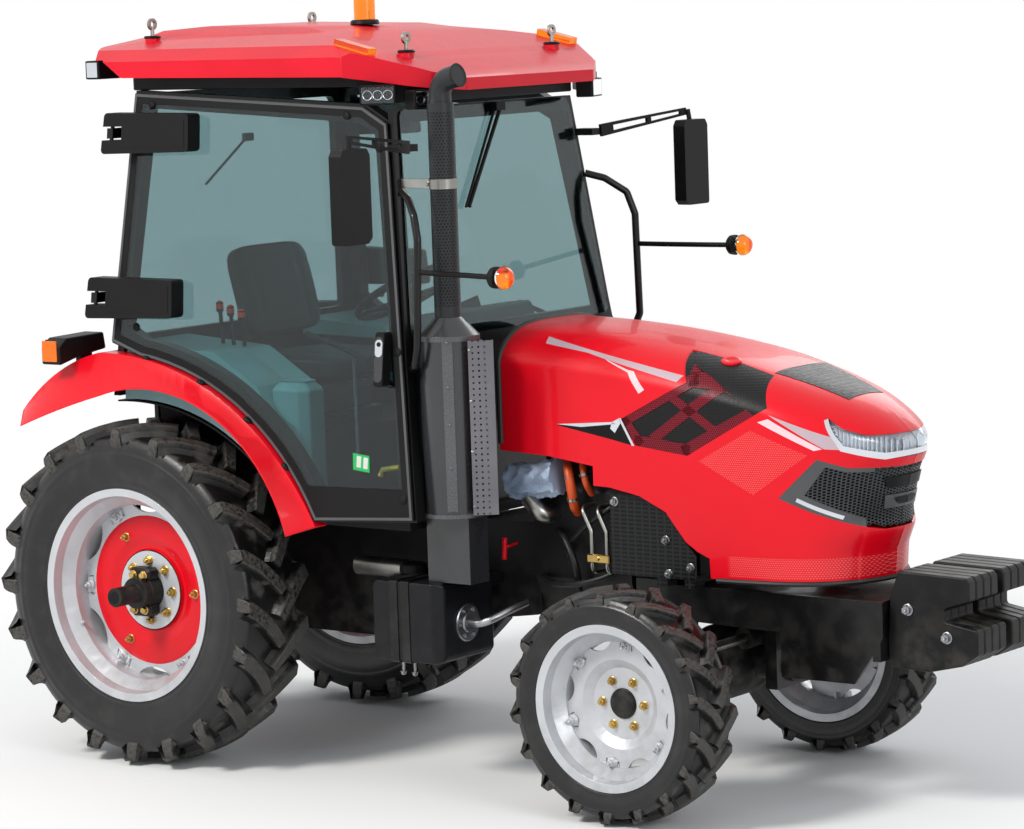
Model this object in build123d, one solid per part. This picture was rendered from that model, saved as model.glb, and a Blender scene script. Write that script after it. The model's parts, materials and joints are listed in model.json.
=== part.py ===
from build123d import *
import math
import os

# Farm tractor with a glazed cab, four driven wheels, front weights and a rear three-point linkage.
# Lengths are in millimetres. X runs forward from the rear axle, Y to the tractor's left, Z up from
# the ground. save() moves every piece so that the box around the whole tractor is centred on X.

# ---- chassis and wheels
WHEELBASE = 2050.0
REAR_TYRE_R = 614.0
REAR_TYRE_W = 315.0
REAR_HALF_TRACK = 631.0
REAR_FLANGE_R = 381.0
REAR_RIM_W = 290.0
RIM_WELL_DROP = 67.0
REAR_DISC_R = REAR_FLANGE_R - RIM_WELL_DROP - 52.0
REAR_SCALLOP_R = REAR_DISC_R + 17.0
REAR_HUB_END = 832.0
FRONT_TYRE_R = 388.0
FRONT_TYRE_W = 214.0
FRONT_HALF_TRACK = 642.0
FRONT_FLANGE_R = 275.0
FRONT_RIM_W = 200.0
FRONT_SCALLOP_R = 184.0
KINGPIN_Y = 496.0
KINGPIN_R = 24.0
STEER_ARM = 150.0
STEER_INBOARD = 25.0
AXLE_Z = FRONT_TYRE_R + 42.0
STEER_ROD_Z = AXLE_Z + 104.0
TRUMPET_END = 450.0
TRUMPET_BORE = 380.0
SHAFT_R = 44.0

# ---- frame, engine and transmission
FRAME_HALF = 250.0
FRAME_PLATE = 14.0
FRAME_TOP = 715.0
FRAME_BOTTOM = 440.0
ENGINE_BACK = 1400.0
ENGINE_FRONT = 2080.0
ENGINE_HALF = 215.0
ENGINE_TOP = 1120.0
CASE_HALF = 190.0
CASE_TOP = 860.0
CASE_BOTTOM = 430.0
TANK_REAR = 985.0
TANK_FRONT = 1275.0
TANK_OUT = 600.0
TANK_TOP = 716.0
WEIGHT_T = 46.0
WEIGHT_PITCH = 47.0
WEIGHT_FRONT = 3120.0
WEIGHT_BACK = 2790.0

# ---- cab: side walls lie in a plane y = SIDE_Y0 + SIDE_PER_X * x + SIDE_PER_Z * z (right side)
SIDE_Y0 = -884.6
SIDE_PER_X = 0.0722
SIDE_PER_Z = 0.1262
GLASS_T = 6.0
SEAL_GAP = 6.0
PILLAR_D = 46.0
FLOOR_Z = 925.0
FLOOR_T = 30.0
SCREEN_X = 1151.0
SCREEN_Z = 1700.0
SCREEN_LEAN = 0.111
SCREEN_FOOT = 1530.0
SCREEN_HEAD = 2306.0
SCREEN_FOOT_HALF = 572.0
SCREEN_HEAD_HALF = 482.0
BACK_X = -45.0
BACK_Z = 2400.0
BACK_LEAN = 0.0744
CAB_TOP = 2376.0
HINGE_OUT = 42.0
HINGE_R = 7.0
HINGE_BACK = 20.5
HINGE_ZS = (2240.0, 1665.0)

# ---- fenders: the crown edge runs along one circle seen from the side
FENDER_X = -104.0
FENDER_Z = 398.0
FENDER_R = 1069.0
DOOR_OVER_FENDER = 10.3
TAIL_X = 24.2
TAIL_Z = 741.5
TAIL_R = 742.8

# ---- roof
ROOF_FRONT = 1290.0
ROOF_REAR = -215.0
ROOF_HALF = 655.0
ROOF_EDGE_Z = 2433.0
ROOF_NOSE_Z = 2365.0
ROOF_TOP_Z = 2602.0
EYE_PLACES = ((1075.0, 414.0, 2496.0), (-56.0, 441.0, 2566.0))

# ---- hood
HOOD_REAR = 1352.0
HOOD_NOSE = 2800.0
HOOD_WALL = 6.0
HOOD_PIVOT_X = 1440.0
HOOD_PIVOT_Z = 1500.0
HOOD_PIN_R = 8.0

# ---- exhaust
MUFFLER_REAR = 1188.0
MUFFLER_R = 102.0
EXHAUST_X = MUFFLER_REAR + MUFFLER_R
EXHAUST_Y = -512.0
STACK_R = 45.0
STACK_TOP = 2330.0

# ---- rear linkage
LINK_PIVOT_X = 60.0
LINK_PIVOT_Z = 400.0
LINK_HALF = 235.0
LINK_LENGTH = 830.0
LINK_BALL_R = 11.3
ARM_PIVOT_X = -50.0
ARM_PIVOT_Z = 930.0
ARM_LENGTH = 350.0
ARM_SHAFT_R = 26.0
ROD_PIN_R = 9.0
PTO_Z = 590.0
PTO_R = 17.5

# ---- fits
RUN = 0.3

REAR_END = LINK_PIVOT_X - LINK_LENGTH - 30.0
CENTRE_X = (WEIGHT_FRONT + REAR_END) / 2.0


def save(name, shape):
    """Write one named piece, moved so that the tractor's box is centred on X."""
    os.makedirs("parts", exist_ok=True)
    export_step(Pos(-CENTRE_X, 0, 0) * shape, f"parts/{name}.step")


def both(shape):
    """A right-hand piece and its mirror image on the left."""
    return [shape, mirror(shape, about=Plane.XZ)]


def group(*solids):
    """Separate solids that share one node."""
    flat = []
    for item in solids:
        flat += item if isinstance(item, list) else [item]
    out = []
    for item in flat:
        out += list(item.solids())
    return Compound(children=out)


def outline(points, radius=0.0):
    """Closed flat face through points, with every corner rounded by radius."""
    if radius > 0:
        return make_face(FilletPolyline(*points, radius=radius, close=True))
    return make_face(Polyline(*points, close=True))


def along_y(face, low, high):
    """Stand a face drawn as (x, z) upright and give it depth from y = low to y = high."""
    return extrude(Plane((0, high, 0), x_dir=(1, 0, 0), z_dir=(0, -1, 0)) * face, amount=high - low)


def along_x(face, low, high):
    """Stand a face drawn as (y, z) upright and give it length from x = low to x = high."""
    return extrude(Plane((low, 0, 0), x_dir=(0, 1, 0), z_dir=(1, 0, 0)) * face, amount=high - low)


def along_z(face, low, high):
    """Raise a face drawn as (x, y) from z = low to z = high."""
    return extrude(Plane((0, 0, low)) * face, amount=high - low)


def block(x0, x1, y0, y1, z0, z1):
    """Box between two corners."""
    return Pos((x0 + x1) / 2, (y0 + y1) / 2, (z0 + z1) / 2) * Box(x1 - x0, y1 - y0, z1 - z0)


def rod(start, end, radius):
    """Round bar between two points."""
    a, b = Vector(*start), Vector(*end)
    return extrude(Plane(origin=a, z_dir=b - a) * Circle(radius), amount=(b - a).length)


def bent_tube(points, bend, radius):
    """Round bar along straight runs joined by arcs."""
    path = FilletPolyline(*points, radius=bend)
    return sweep(Plane(origin=path @ 0, z_dir=path % 0) * Circle(radius), path=path)


def turned(side, x, z, section):
    """Turn a section drawn as (distance from the centre plane, radius) about a wheel's axis."""
    plane = Plane(origin=(x, 0, z), x_dir=(0, side, 0), z_dir=(side, 0, 0))
    return revolve(plane * make_face(Polyline(*section, close=True)), Axis((x, 0, z), (0, 1, 0)), 360)


# ---------------------------------------------------------------------------------------- wheels
def rim(side, x, z, track, width, flange_r):
    """Stamped rim: two flanges, two bead seats and a drop centre, one even wall."""
    out = track + width / 2
    inn = track - width / 2
    seat = flange_r - 25.0
    well = seat - 34.0
    outer = [(out, flange_r), (out - 7, flange_r), (out - 10, seat + 5), (out - 38, seat), (out - 74, well)]
    outer += [(inn + 74, well), (inn + 38, seat), (inn + 10, seat + 5), (inn + 7, flange_r), (inn, flange_r)]
    inner = [(inn + 3, seat - 3), (inn + 41, seat - 8), (inn + 77, well - 8)]
    inner += [(out - 77, well - 8), (out - 41, seat - 8), (out - 3, seat - 3)]
    return turned(side, x, z, outer + inner)


def tyre(side, x, z, track, width, radius, rim_width, flange_r):
    """Open-bellied tyre carcass up to the crown of its tread."""
    half = width / 2
    bead = flange_r - 20.0
    foot = rim_width / 2 - 12.0
    tall = radius - bead
    outer = [(foot, bead), (foot + 1, flange_r + 4), (half, bead + 0.42 * tall), (half - 6, radius - 48)]
    outer += [(half - 16, radius - 8), (half - 30, radius - 2), (half * 0.4, radius)]
    inner = [(half * 0.4, radius - 34), (half - 42, radius - 42), (half - 22, bead + 0.42 * tall)]
    inner += [(foot - 14, flange_r + 2), (foot - 18, bead)]
    right = [(track + a, r) for a, r in outer]
    left = [(track - a, r) for a, r in reversed(outer)]
    inner_left = [(track - a, r) for a, r in reversed(inner)]
    inner_right = [(track + a, r) for a, r in inner]
    return turned(side, x, z, right + left + inner_left + inner_right)


def scalloped(plate, x, z, root, bite, first):
    """Wheel disc with six round bites between its six lobes; root is the radius left at a bite."""
    for k in range(6):
        angle = math.radians(60 * k + first)
        cx, cz = x + (root + bite) * math.sin(angle), z + (root + bite) * math.cos(angle)
        plate = plate - rod((cx, -900, cz), (cx, 900, cz), bite)
    return plate


def rear_wheel(side, tag):
    """Rear wheel: rim with brackets, red centre disc, clamp hub on its bar axle, tyre."""
    z = REAR_TYRE_R
    shell = rim(side, 0, z, REAR_HALF_TRACK, REAR_RIM_W, REAR_FLANGE_R)
    well_r = REAR_FLANGE_R - RIM_WELL_DROP
    face = REAR_HALF_TRACK
    plate = turned(side, 0, z, [(face, REAR_DISC_R - 32), (face, well_r + 3), (face + 10, well_r + 3),
                                (face + 10, REAR_DISC_R - 32)])
    save(f"rear_rim_{tag}", shell + scalloped(plate, 0, z, REAR_SCALLOP_R, 120, 0))
    band = REAR_DISC_R - 150
    disc = [(face - 1, 96), (face - 1, 150), (face - 24, 150 + 0.25 * band), (face - 24, 150 + 0.58 * band)]
    disc += [(face - RUN, 150 + 0.768 * band), (face - RUN, REAR_DISC_R), (face - 10, REAR_DISC_R)]
    disc += [(face - 10, 150 + 0.786 * band), (face - 32, 150 + 0.616 * band), (face - 32, 150 + 0.214 * band)]
    disc += [(face - 9, 146), (face - 9, 96)]
    save(f"rear_disc_{tag}", turned(side, 0, z, disc))
    hub = [(TRUMPET_BORE + 5, 0), (TRUMPET_BORE + 5, SHAFT_R), (face - 60, SHAFT_R), (face - 60, 95.7)]
    hub += [(face - 1 + RUN, 95.7), (face - 1 + RUN, 142), (face + 12, 142), (face + 12, 62), (face + 96, 56)]
    hub += [(face + 96, 34), (REAR_HUB_END - 4, 34), (REAR_HUB_END, 30), (REAR_HUB_END, 0)]
    save(f"rear_hub_{tag}", turned(side, 0, z, hub))
    save(f"rear_tyre_{tag}",
         tyre(side, 0, z, REAR_HALF_TRACK, REAR_TYRE_W, REAR_TYRE_R, REAR_RIM_W, REAR_FLANGE_R))


def front_wheel(side, tag):
    """Front wheel: rim and dished disc in one, and its tyre."""
    z = FRONT_TYRE_R
    shell = rim(side, WHEELBASE, z, FRONT_HALF_TRACK, FRONT_RIM_W, FRONT_FLANGE_R)
    well_r = FRONT_FLANGE_R - RIM_WELL_DROP
    face = FRONT_HALF_TRACK
    dish = [(face - 8, 50.3), (face - 8, 118), (face + 14, 148), (face + 14, well_r + 3)]
    dish += [(face + 6, well_r + 3), (face + 6, 150), (face - 15, 121), (face - 15, 50.3)]
    shell = shell + scalloped(turned(side, WHEELBASE, z, dish), WHEELBASE, z, FRONT_SCALLOP_R, 60, 40)
    save(f"front_rim_{tag}", shell)
    save(f"front_tyre_{tag}",
         tyre(side, WHEELBASE, z, FRONT_HALF_TRACK, FRONT_TYRE_W, FRONT_TYRE_R, FRONT_RIM_W, FRONT_FLANGE_R))


# ---------------------------------------------------------------------------------- front axle
def front_axle():
    """Live front axle: centre differential, tapered tubes, kingpin yokes, steering cylinder."""
    z = AXLE_Z
    x = WHEELBASE
    beam = turned(1, x, z, [(-150, 0), (-150, 96), (-70, 128), (70, 128), (150, 96), (150, 0)])
    for side in (-1, 1):
        beam = beam + turned(side, x, z, [(140, 0), (140, 72), (KINGPIN_Y - 66, 52), (KINGPIN_Y - 66, 0)])
        eye = Pos(x, side * KINGPIN_Y, z) * Cylinder(46, 96)
        neck = block(x - 42, x + 42, min(side * (KINGPIN_Y - 70), side * KINGPIN_Y),
                     max(side * (KINGPIN_Y - 70), side * KINGPIN_Y), z - 44, z + 44)
        beam = beam + eye + neck
        beam = beam - Pos(x, side * KINGPIN_Y, z) * Cylinder(KINGPIN_R + RUN, 140)
    pivot_front = rod((x + 60, 0, z), (x + 262, 0, z), 55)
    pivot_rear = rod((x - 60, 0, z), (x - 250, 0, z), 55)
    beam = beam + pivot_front + pivot_rear
    rod_x, rod_z = x + STEER_ARM, STEER_ROD_Z
    ball_y = KINGPIN_Y - STEER_INBOARD
    cylinder = rod((rod_x, -150, rod_z), (rod_x, 150, rod_z), 36)
    cylinder = cylinder + block(x + 40, rod_x, -40, 40, rod_z - 30, rod_z + 18)
    beam = beam + (cylinder - rod((rod_x, -200, rod_z), (rod_x, 200, rod_z), 16 + RUN))
    save("front_axle_beam", beam)
    bar = rod((rod_x, -330, rod_z), (rod_x, 330, rod_z), 16)
    for side in (-1, 1):
        bar = bar + rod((rod_x, side * 320, rod_z), (rod_x, side * ball_y, rod_z), 11)
        bar = bar + Pos(rod_x, side * ball_y, rod_z) * Sphere(16)
    save("steering_rod", bar)
    for side, tag in ((-1, "right"), (1, "left")):
        ky = side * KINGPIN_Y
        upper = Pos(x, ky, z + 48 + RUN + 16) * Cylinder(48, 32)
        lower = Pos(x, ky, z - 48 - RUN - 16) * Cylinder(48, 32)
        pin = Pos(x, ky, z) * Cylinder(KINGPIN_R, 96 + 2 * RUN + 4)
        drum_section = [(KINGPIN_Y + 52, 0), (KINGPIN_Y + 52, 108), (KINGPIN_Y + 74, 128), (KINGPIN_Y + 100, 128)]
        drum_section += [(KINGPIN_Y + 120, 104), (FRONT_HALF_TRACK - 24, 92), (FRONT_HALF_TRACK - 24, 0)]
        drum = turned(side, x, FRONT_TYRE_R, drum_section)
        cheek = along_x(outline([(ky, z + 49), (ky + side * 60, z + 60), (ky + side * 60, z - 60), (ky, z - 49),
                                 (ky, z - 78), (ky + side * 70, z - 110), (ky + side * 70, z + 110),
                                 (ky, z + 80)]), x - 44, x + 44)
        hub = turned(side, x, FRONT_TYRE_R, [(FRONT_HALF_TRACK - 30, 0), (FRONT_HALF_TRACK - 30, 50),
                                             (FRONT_HALF_TRACK - 4, 50), (FRONT_HALF_TRACK + 4, 42),
                                             (FRONT_HALF_TRACK + 4, 0)])
        arm = along_z(outline([(x + 20, ky - side * 30), (x + 20, ky + side * 30),
                               (x + STEER_ARM + 20, ky - side * (STEER_INBOARD - 16)),
                               (x + STEER_ARM + 20, ky - side * (STEER_INBOARD + 16))]), z + 50, z + 74)
        save(f"knuckle_{tag}", upper + lower + pin + drum + cheek + hub + arm)


# ------------------------------------------------------------------------ frame and drive line
def front_frame():
    """Bolster: two side plates, cross members, axle pivot brackets and the weight bar."""
    side_plate = outline([(1950, 600), (2300, 590), (2412, 590), (2412, FRAME_BOTTOM), (2690, FRAME_BOTTOM),
                          (2760, 540), (2800, 600), (2800, FRAME_TOP), (1950, FRAME_TOP)])
    frame = along_y(side_plate, FRAME_HALF - FRAME_PLATE, FRAME_HALF)
    frame = frame + along_y(side_plate, -FRAME_HALF, -FRAME_HALF + FRAME_PLATE)
    frame = frame + block(1950, 2010, -FRAME_HALF, FRAME_HALF, 600, FRAME_TOP)
    frame = frame + block(2420, 2440, -FRAME_HALF, FRAME_HALF, 450, FRAME_TOP)
    frame = frame + block(2760, WEIGHT_BACK - RUN, -FRAME_HALF, FRAME_HALF, 520, FRAME_TOP)
    frame = frame + block(2010, 2760, -FRAME_HALF, FRAME_HALF, FRAME_TOP - 10, FRAME_TOP)
    z = AXLE_Z
    for x0 in (WHEELBASE + 200, WHEELBASE - 246):
        bracket = block(x0, x0 + 46, -100, 100, z - 70, 640)
        bracket = bracket + block(x0, x0 + 46, -FRAME_HALF + 5, FRAME_HALF - 5, 600, 650)
        frame = frame + bracket
    frame = frame + block(1810, 1960, -205, 205, 600, 720 - RUN)
    frame = frame - rod((WHEELBASE - 300, 0, z), (WHEELBASE + 300, 0, z), 55 + RUN)
    save("front_frame", frame)


def front_weights():
    """Two stacks of four plate weights hooked on the weight bar."""
    shape = outline([(WEIGHT_BACK + 40, 812), (WEIGHT_FRONT - 40, 806), (WEIGHT_FRONT - 28, 790),
                     (WEIGHT_FRONT - 28, 730), (WEIGHT_FRONT - 120, 700), (WEIGHT_FRONT - 120, 660),
                     (WEIGHT_FRONT, 640), (WEIGHT_FRONT, 560), (WEIGHT_FRONT - 60, 520),
                     (WEIGHT_FRONT - 180, 492), (WEIGHT_BACK, 500), (WEIGHT_BACK, 600),
                     (WEIGHT_BACK + 10, 720)], 12)
    plates = []
    for k in range(4):
        y = 18 + WEIGHT_PITCH * k
        plates.append(along_y(shape, y, y + WEIGHT_T))
        plates.append(along_y(shape, -y - WEIGHT_T, -y))
    save("front_weights", group(*plates))


def engine():
    """Engine as one plain block with its sump, and the pipes on its right side."""
    face = outline([(-ENGINE_HALF, 700), (-ENGINE_HALF, ENGINE_TOP - 120), (-120, ENGINE_TOP), (120, ENGINE_TOP),
                    (ENGINE_HALF, ENGINE_TOP - 120), (ENGINE_HALF, 700), (140, 520), (-140, 520)], 18)
    front = outline([(-ENGINE_HALF, 720), (-ENGINE_HALF, ENGINE_TOP - 120), (-120, ENGINE_TOP), (120, ENGINE_TOP),
                     (ENGINE_HALF, ENGINE_TOP - 120), (ENGINE_HALF, 720)], 18)
    block_shape = along_x(face, ENGINE_BACK, 1800) + along_x(front, 1790, ENGINE_FRONT)
    post = outline([(HOOD_PIVOT_X - 36, ENGINE_TOP - 5), (HOOD_PIVOT_X + 36, ENGINE_TOP - 5),
                    (HOOD_PIVOT_X + 14, HOOD_PIVOT_Z + 14), (HOOD_PIVOT_X - 14, HOOD_PIVOT_Z + 14)])
    for side in (-1, 1):
        low, high = sorted((side * 106, side * 118))
        block_shape = block_shape + along_y(post, low, high)
        block_shape = block_shape + rod((HOOD_PIVOT_X, side * 84, HOOD_PIVOT_Z),
                                        (HOOD_PIVOT_X, side * 106, HOOD_PIVOT_Z), HOOD_PIN_R)
    save("engine_block", block_shape)
    y = -ENGINE_HALF
    pipes = []
    for dx in (0, 62):
        pipes.append(bent_tube([(1650 + dx, y - RUN, 960), (1650 + dx, y - 70, 960), (1690 + dx, y - 70, 880),
                                (1690 + dx, y - 70, 740), (1690 + dx, y - RUN, 740)], 26, 8))
    elbow = bent_tube([(1480, y - RUN, 920), (1480, y - 62, 920), (1425, y - 62, 975)], 34, 30)
    save("engine_pipes", group(*pipes, elbow))


def side_guards():
    """Perforated guards beside the radiator and fan."""
    panel = outline([(1780, 745), (1780, 1020), (1900, 1015), (2010, 960), (2080, 870), (2120, 830),
                     (2120, 745)], 6)
    right = along_y(panel, -300, -294)
    foot = block(1960, 2000, -295, -236, FRAME_TOP + RUN, 755)
    foot = foot + block(2070, 2110, -295, -236, FRAME_TOP + RUN, 755)
    save("side_guards", group(both(right + foot)))


def transmission():
    """Clutch housing, gearbox and rear axle with its two trumpet housings."""
    body = along_y(outline([(-170, 470), (-170, 820), (-60, CASE_TOP), (560, CASE_TOP), (900, 830),
                            (1140, 880), (ENGINE_BACK - RUN, 880), (ENGINE_BACK - RUN, 560), (1100, 520),
                            (700, CASE_BOTTOM), (60, CASE_BOTTOM)], 20), -CASE_HALF, CASE_HALF)
    z = REAR_TYRE_R
    for side in (-1, 1):
        trumpet = [(150, 0), (150, 165), (200, 156), (216, 112), (320, 94), (430, 84), (430, 112)]
        body = body + turned(side, 0, z, trumpet + [(TRUMPET_END, 112), (TRUMPET_END, 0)])
    body = body + along_y(outline([(ARM_PIVOT_X - 60, CASE_TOP - 5), (ARM_PIVOT_X - 46, ARM_PIVOT_Z + 40),
                                   (ARM_PIVOT_X + 60, ARM_PIVOT_Z + 50), (ARM_PIVOT_X + 330, ARM_PIVOT_Z + 20),
                                   (ARM_PIVOT_X + 360, CASE_TOP - 5)], 8), -160, 160)
    body = body - rod((ARM_PIVOT_X, -200, ARM_PIVOT_Z), (ARM_PIVOT_X, 200, ARM_PIVOT_Z), ARM_SHAFT_R + RUN)
    ear = outline([(LINK_PIVOT_X - 50, 480), (LINK_PIVOT_X + 50, 480), (LINK_PIVOT_X + 26, LINK_PIVOT_Z - 28),
                   (LINK_PIVOT_X - 26, LINK_PIVOT_Z - 28)], 8)
    for side in (-1, 1):
        low, high = sorted((side * (CASE_HALF - 14), side * (CASE_HALF + 16)))
        body = body + along_y(ear, low, high)
        body = body + rod((LINK_PIVOT_X, side * CASE_HALF, LINK_PIVOT_Z),
                          (LINK_PIVOT_X, side * (LINK_HALF + 26), LINK_PIVOT_Z), LINK_BALL_R - RUN)
        low, high = sorted((side * 330, side * 400))
        body = body + block(-45, 45, low, high, 690, 1172 - RUN)
        body = body - turned(side, 0, z, [(TRUMPET_BORE, 0), (TRUMPET_BORE, SHAFT_R + RUN),
                                          (TRUMPET_END + 10, SHAFT_R + RUN), (TRUMPET_END + 10, 0)])
    save("transmission_case", body)


def fuel_tank():
    """Fuel tank under the cab's right side with two straps, and the left step with battery box."""
    shape = outline([(TANK_REAR, 440), (TANK_REAR, TANK_TOP), (TANK_FRONT, TANK_TOP), (TANK_FRONT, 440)], 26)
    corner = outline([(TANK_REAR, -TANK_OUT), (TANK_FRONT - 34, -TANK_OUT), (TANK_FRONT, -TANK_OUT + 34),
                      (TANK_FRONT, -300), (TANK_REAR, -300)])
    tank = along_y(shape, -TANK_OUT, -300) & along_z(corner, 400, 800)
    save("fuel_tank", tank + block(TANK_REAR + 30, TANK_FRONT - 30, -300.5, -CASE_HALF - RUN, 660, 700))
    step = along_y(outline([(980, 470), (980, 700), (1430, 700), (1430, 470)], 20), 300, 560)
    step = step + block(1000, 1380, CASE_HALF + RUN, 300.5, 650, 690)
    tread = block(1010, 1400, 560, 680, 470, 482) + block(1010, 1022, 555, 680, 470, 690)
    tread = tread + block(1388, 1400, 555, 680, 470, 690)
    save("left_step", step + tread)


def rear_hitch():
    """Top-link bracket, lower-link pins, drawbar and the power take-off guard."""
    back = -170.0
    frame = block(back - 60, back - RUN, -90, 90, 500, 830)
    frame = frame - rod((back - 100, 0, PTO_Z), (back + 10, 0, PTO_Z), 50)
    ear = outline([(back - 130, 700), (back - 130, 800), (back - 60, 830), (back - 20, 830),
                   (back - 20, 690)], 12)
    for side in (-1, 1):
        low, high = sorted((side * 28, side * 42))
        frame = frame + along_y(ear, low, high)
    frame = frame - rod((back - 105, -60, 755), (back - 105, 60, 755), 9.7)
    bar = block(back - 420, back + 240, -38, 38, 392, 424) - Pos(back - 390, 0, 408) * Cylinder(15, 60)
    frame = frame + bar + block(back - 60, back - 20, -60, 60, 424, 505)
    frame = frame + block(20, 70, -60, 60, 392, CASE_BOTTOM - RUN)
    save("hitch_frame", frame)
    save("pto_shaft", rod((back - 90, 0, PTO_Z), (back - RUN, 0, PTO_Z), PTO_R))


def linkage():
    """Rockshaft with two lift arms, two lower links and the two lift rods between them."""
    shaft_end = LINK_HALF + 14
    arms = rod((ARM_PIVOT_X, -shaft_end, ARM_PIVOT_Z), (ARM_PIVOT_X, shaft_end, ARM_PIVOT_Z), ARM_SHAFT_R)
    links = []
    rods = []
    tip_x = ARM_PIVOT_X - ARM_LENGTH
    end_x = LINK_PIVOT_X - LINK_LENGTH
    arm_face = outline([(ARM_PIVOT_X + 40, ARM_PIVOT_Z - 40), (ARM_PIVOT_X + 40, ARM_PIVOT_Z + 40),
                        (tip_x - 34, ARM_PIVOT_Z + 34), (tip_x - 34, ARM_PIVOT_Z - 34)], 16)
    for side in (-1, 1):
        y = side * LINK_HALF
        hole = rod((tip_x, y - 40, ARM_PIVOT_Z), (tip_x, y + 40, ARM_PIVOT_Z), 20)
        arms = arms + (along_y(arm_face, y - 14, y + 14) - hole)
        link = block(end_x, LINK_PIVOT_X, y - 9, y + 9, LINK_PIVOT_Z - 30, LINK_PIVOT_Z + 30)
        for x in (end_x, LINK_PIVOT_X):
            link = link + rod((x, y - 22, LINK_PIVOT_Z), (x, y + 22, LINK_PIVOT_Z), 30)
            link = link - rod((x, y - 40, LINK_PIVOT_Z), (x, y + 40, LINK_PIVOT_Z), LINK_BALL_R)
        link = link - rod((tip_x, y - 40, LINK_PIVOT_Z), (tip_x, y + 40, LINK_PIVOT_Z), ROD_PIN_R + RUN)
        links.append(link)
        rod_y = y + side * 38
        lift = rod((tip_x, rod_y, LINK_PIVOT_Z - 22), (tip_x, rod_y, ARM_PIVOT_Z + 22), 17)
        for z in (LINK_PIVOT_Z, ARM_PIVOT_Z):
            lift = lift + rod((tip_x, y - side * 16, z), (tip_x, rod_y, z), ROD_PIN_R)
        rods.append(lift)
    save("lift_arms", arms)
    save("lower_links", group(*links))
    save("lift_rods", group(*rods))


# ------------------------------------------------------------------------------------------ cab
def side_slab(inset, depth):
    """Slab parallel to the right cab side, from inset to inset + depth inboard of its face."""
    normal = Vector(SIDE_PER_X, -1, SIDE_PER_Z).normalized()
    base = Vector(600, SIDE_Y0 + SIDE_PER_X * 600 + SIDE_PER_Z * 1600, 1600)
    plane = Plane(origin=base - normal * inset, x_dir=(1, SIDE_PER_X, 0), z_dir=-normal)
    return extrude(plane * Rectangle(3600, 3600), amount=depth)


def side_panel(face, inset, depth):
    """Piece of the right cab side cut from a slab by an outline drawn as (x, z)."""
    return along_y(face, -1000, -300) & side_slab(inset, depth)


def back_line(z):
    """X of the cab's rear face at a height."""
    return BACK_X - BACK_LEAN * (BACK_Z - z)


def screen_half(z):
    """Half the width of the windscreen glass at a height."""
    rise = (z - SCREEN_FOOT) / (SCREEN_HEAD - SCREEN_FOOT)
    return SCREEN_FOOT_HALF + (SCREEN_HEAD_HALF - SCREEN_FOOT_HALF) * rise


def door_edge(grow):
    """Door outline as (x, z), grown outwards by grow."""
    g = grow
    top_rear = (back_line(2376) + 34 - g, 2376 + g)
    top_front = (962 + g * 0.4, 2317 + g)
    slant = (1063 + g, 2260 + g * 0.6)
    low_front = (1236 + g, 944 - g)
    radius = FENDER_R + DOOR_OVER_FENDER - g

    def on_arc(x):
        return (x, FENDER_Z + math.sqrt(radius ** 2 - (x - FENDER_X) ** 2))
    low_rear = (FENDER_X + math.sqrt(radius ** 2 - (927 - g - FENDER_Z) ** 2), 927 - g)
    mid = on_arc(560)
    top_fender = on_arc(54)
    rear_low = (back_line(1512) + 34 - g, 1512 - g)
    edges = [Line(top_rear, top_front), Line(top_front, slant), Line(slant, low_front), Line(low_front, low_rear)]
    edges += [ThreePointArc(low_rear, mid, top_fender), Line(top_fender, rear_low), Line(rear_low, top_rear)]
    return make_face(edges)


def hinge_line(z):
    """Point on the right door's hinge axis at a height."""
    x = back_line(z) - HINGE_BACK
    return (x, SIDE_Y0 + SIDE_PER_X * x + SIDE_PER_Z * z - HINGE_OUT, z)


def doors():
    """Full glass doors hung at their rear edges, with two hinge covers and a lever handle each."""
    glass = side_panel(door_edge(0), 0, GLASS_T)
    fittings = []
    for z in HINGE_ZS:
        rear = back_line(z)
        face = outline([(rear - 52, z - 72), (rear - 42, z + 72), (rear + 330, z + 66), (rear + 336, z - 66)], 16)
        slot = block(rear - 90, rear + 38, -900, -300, z - 24, z + 24)
        bore = rod(hinge_line(z - 90), hinge_line(z + 90), HINGE_R + RUN)
        fittings.append(side_panel(face, -62, 62 - RUN) - slot - bore)
    handle = outline([(1085, 1385), (1085, 1570), (1122, 1570), (1122, 1385)], 14)
    fittings.append(side_panel(handle, -40, 40 - RUN))
    for tag, flip in (("right", False), ("left", True)):
        parts = [glass] + fittings
        if flip:
            parts = [mirror(p, about=Plane.XZ) for p in parts]
        save(f"door_glass_{tag}", parts[0])
        save(f"door_fittings_{tag}", group(*parts[1:]))


def hinge_brackets():
    """Straps and pins on the right rear post that carry the door."""
    straps = []
    for z in HINGE_ZS:
        rear = back_line(z)
        strap = block(rear - 33, rear - 8, -1000, -300, z - 18, z + 18) & side_slab(-54, 114)
        foot = block(rear - 33, rear + 30, -1000, -300, z - 18, z + 18) & side_slab(30, 30)
        straps.append(strap + foot + rod(hinge_line(z - 66), hinge_line(z + 66), HINGE_R))
    return straps


def slab(point, normal, depth):
    """Large slab whose outer face passes through point, reaching depth against its normal."""
    away = Vector(*normal).normalized()
    plane = Plane(origin=Vector(*point), z_dir=away * -1)
    return extrude(plane * Rectangle(4000, 4000), amount=depth)


def screen_slab(ahead, depth):
    """Slab parallel to the windscreen whose front face lies ahead of the screen line."""
    return slab((SCREEN_X + ahead, 0, SCREEN_Z), (1, 0, SCREEN_LEAN), depth)


def back_slab(behind, depth):
    """Slab parallel to the cab's rear face, its rear face lying behind it."""
    return slab((BACK_X - behind, 0, BACK_Z), (-1, 0, BACK_LEAN), depth)


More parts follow.
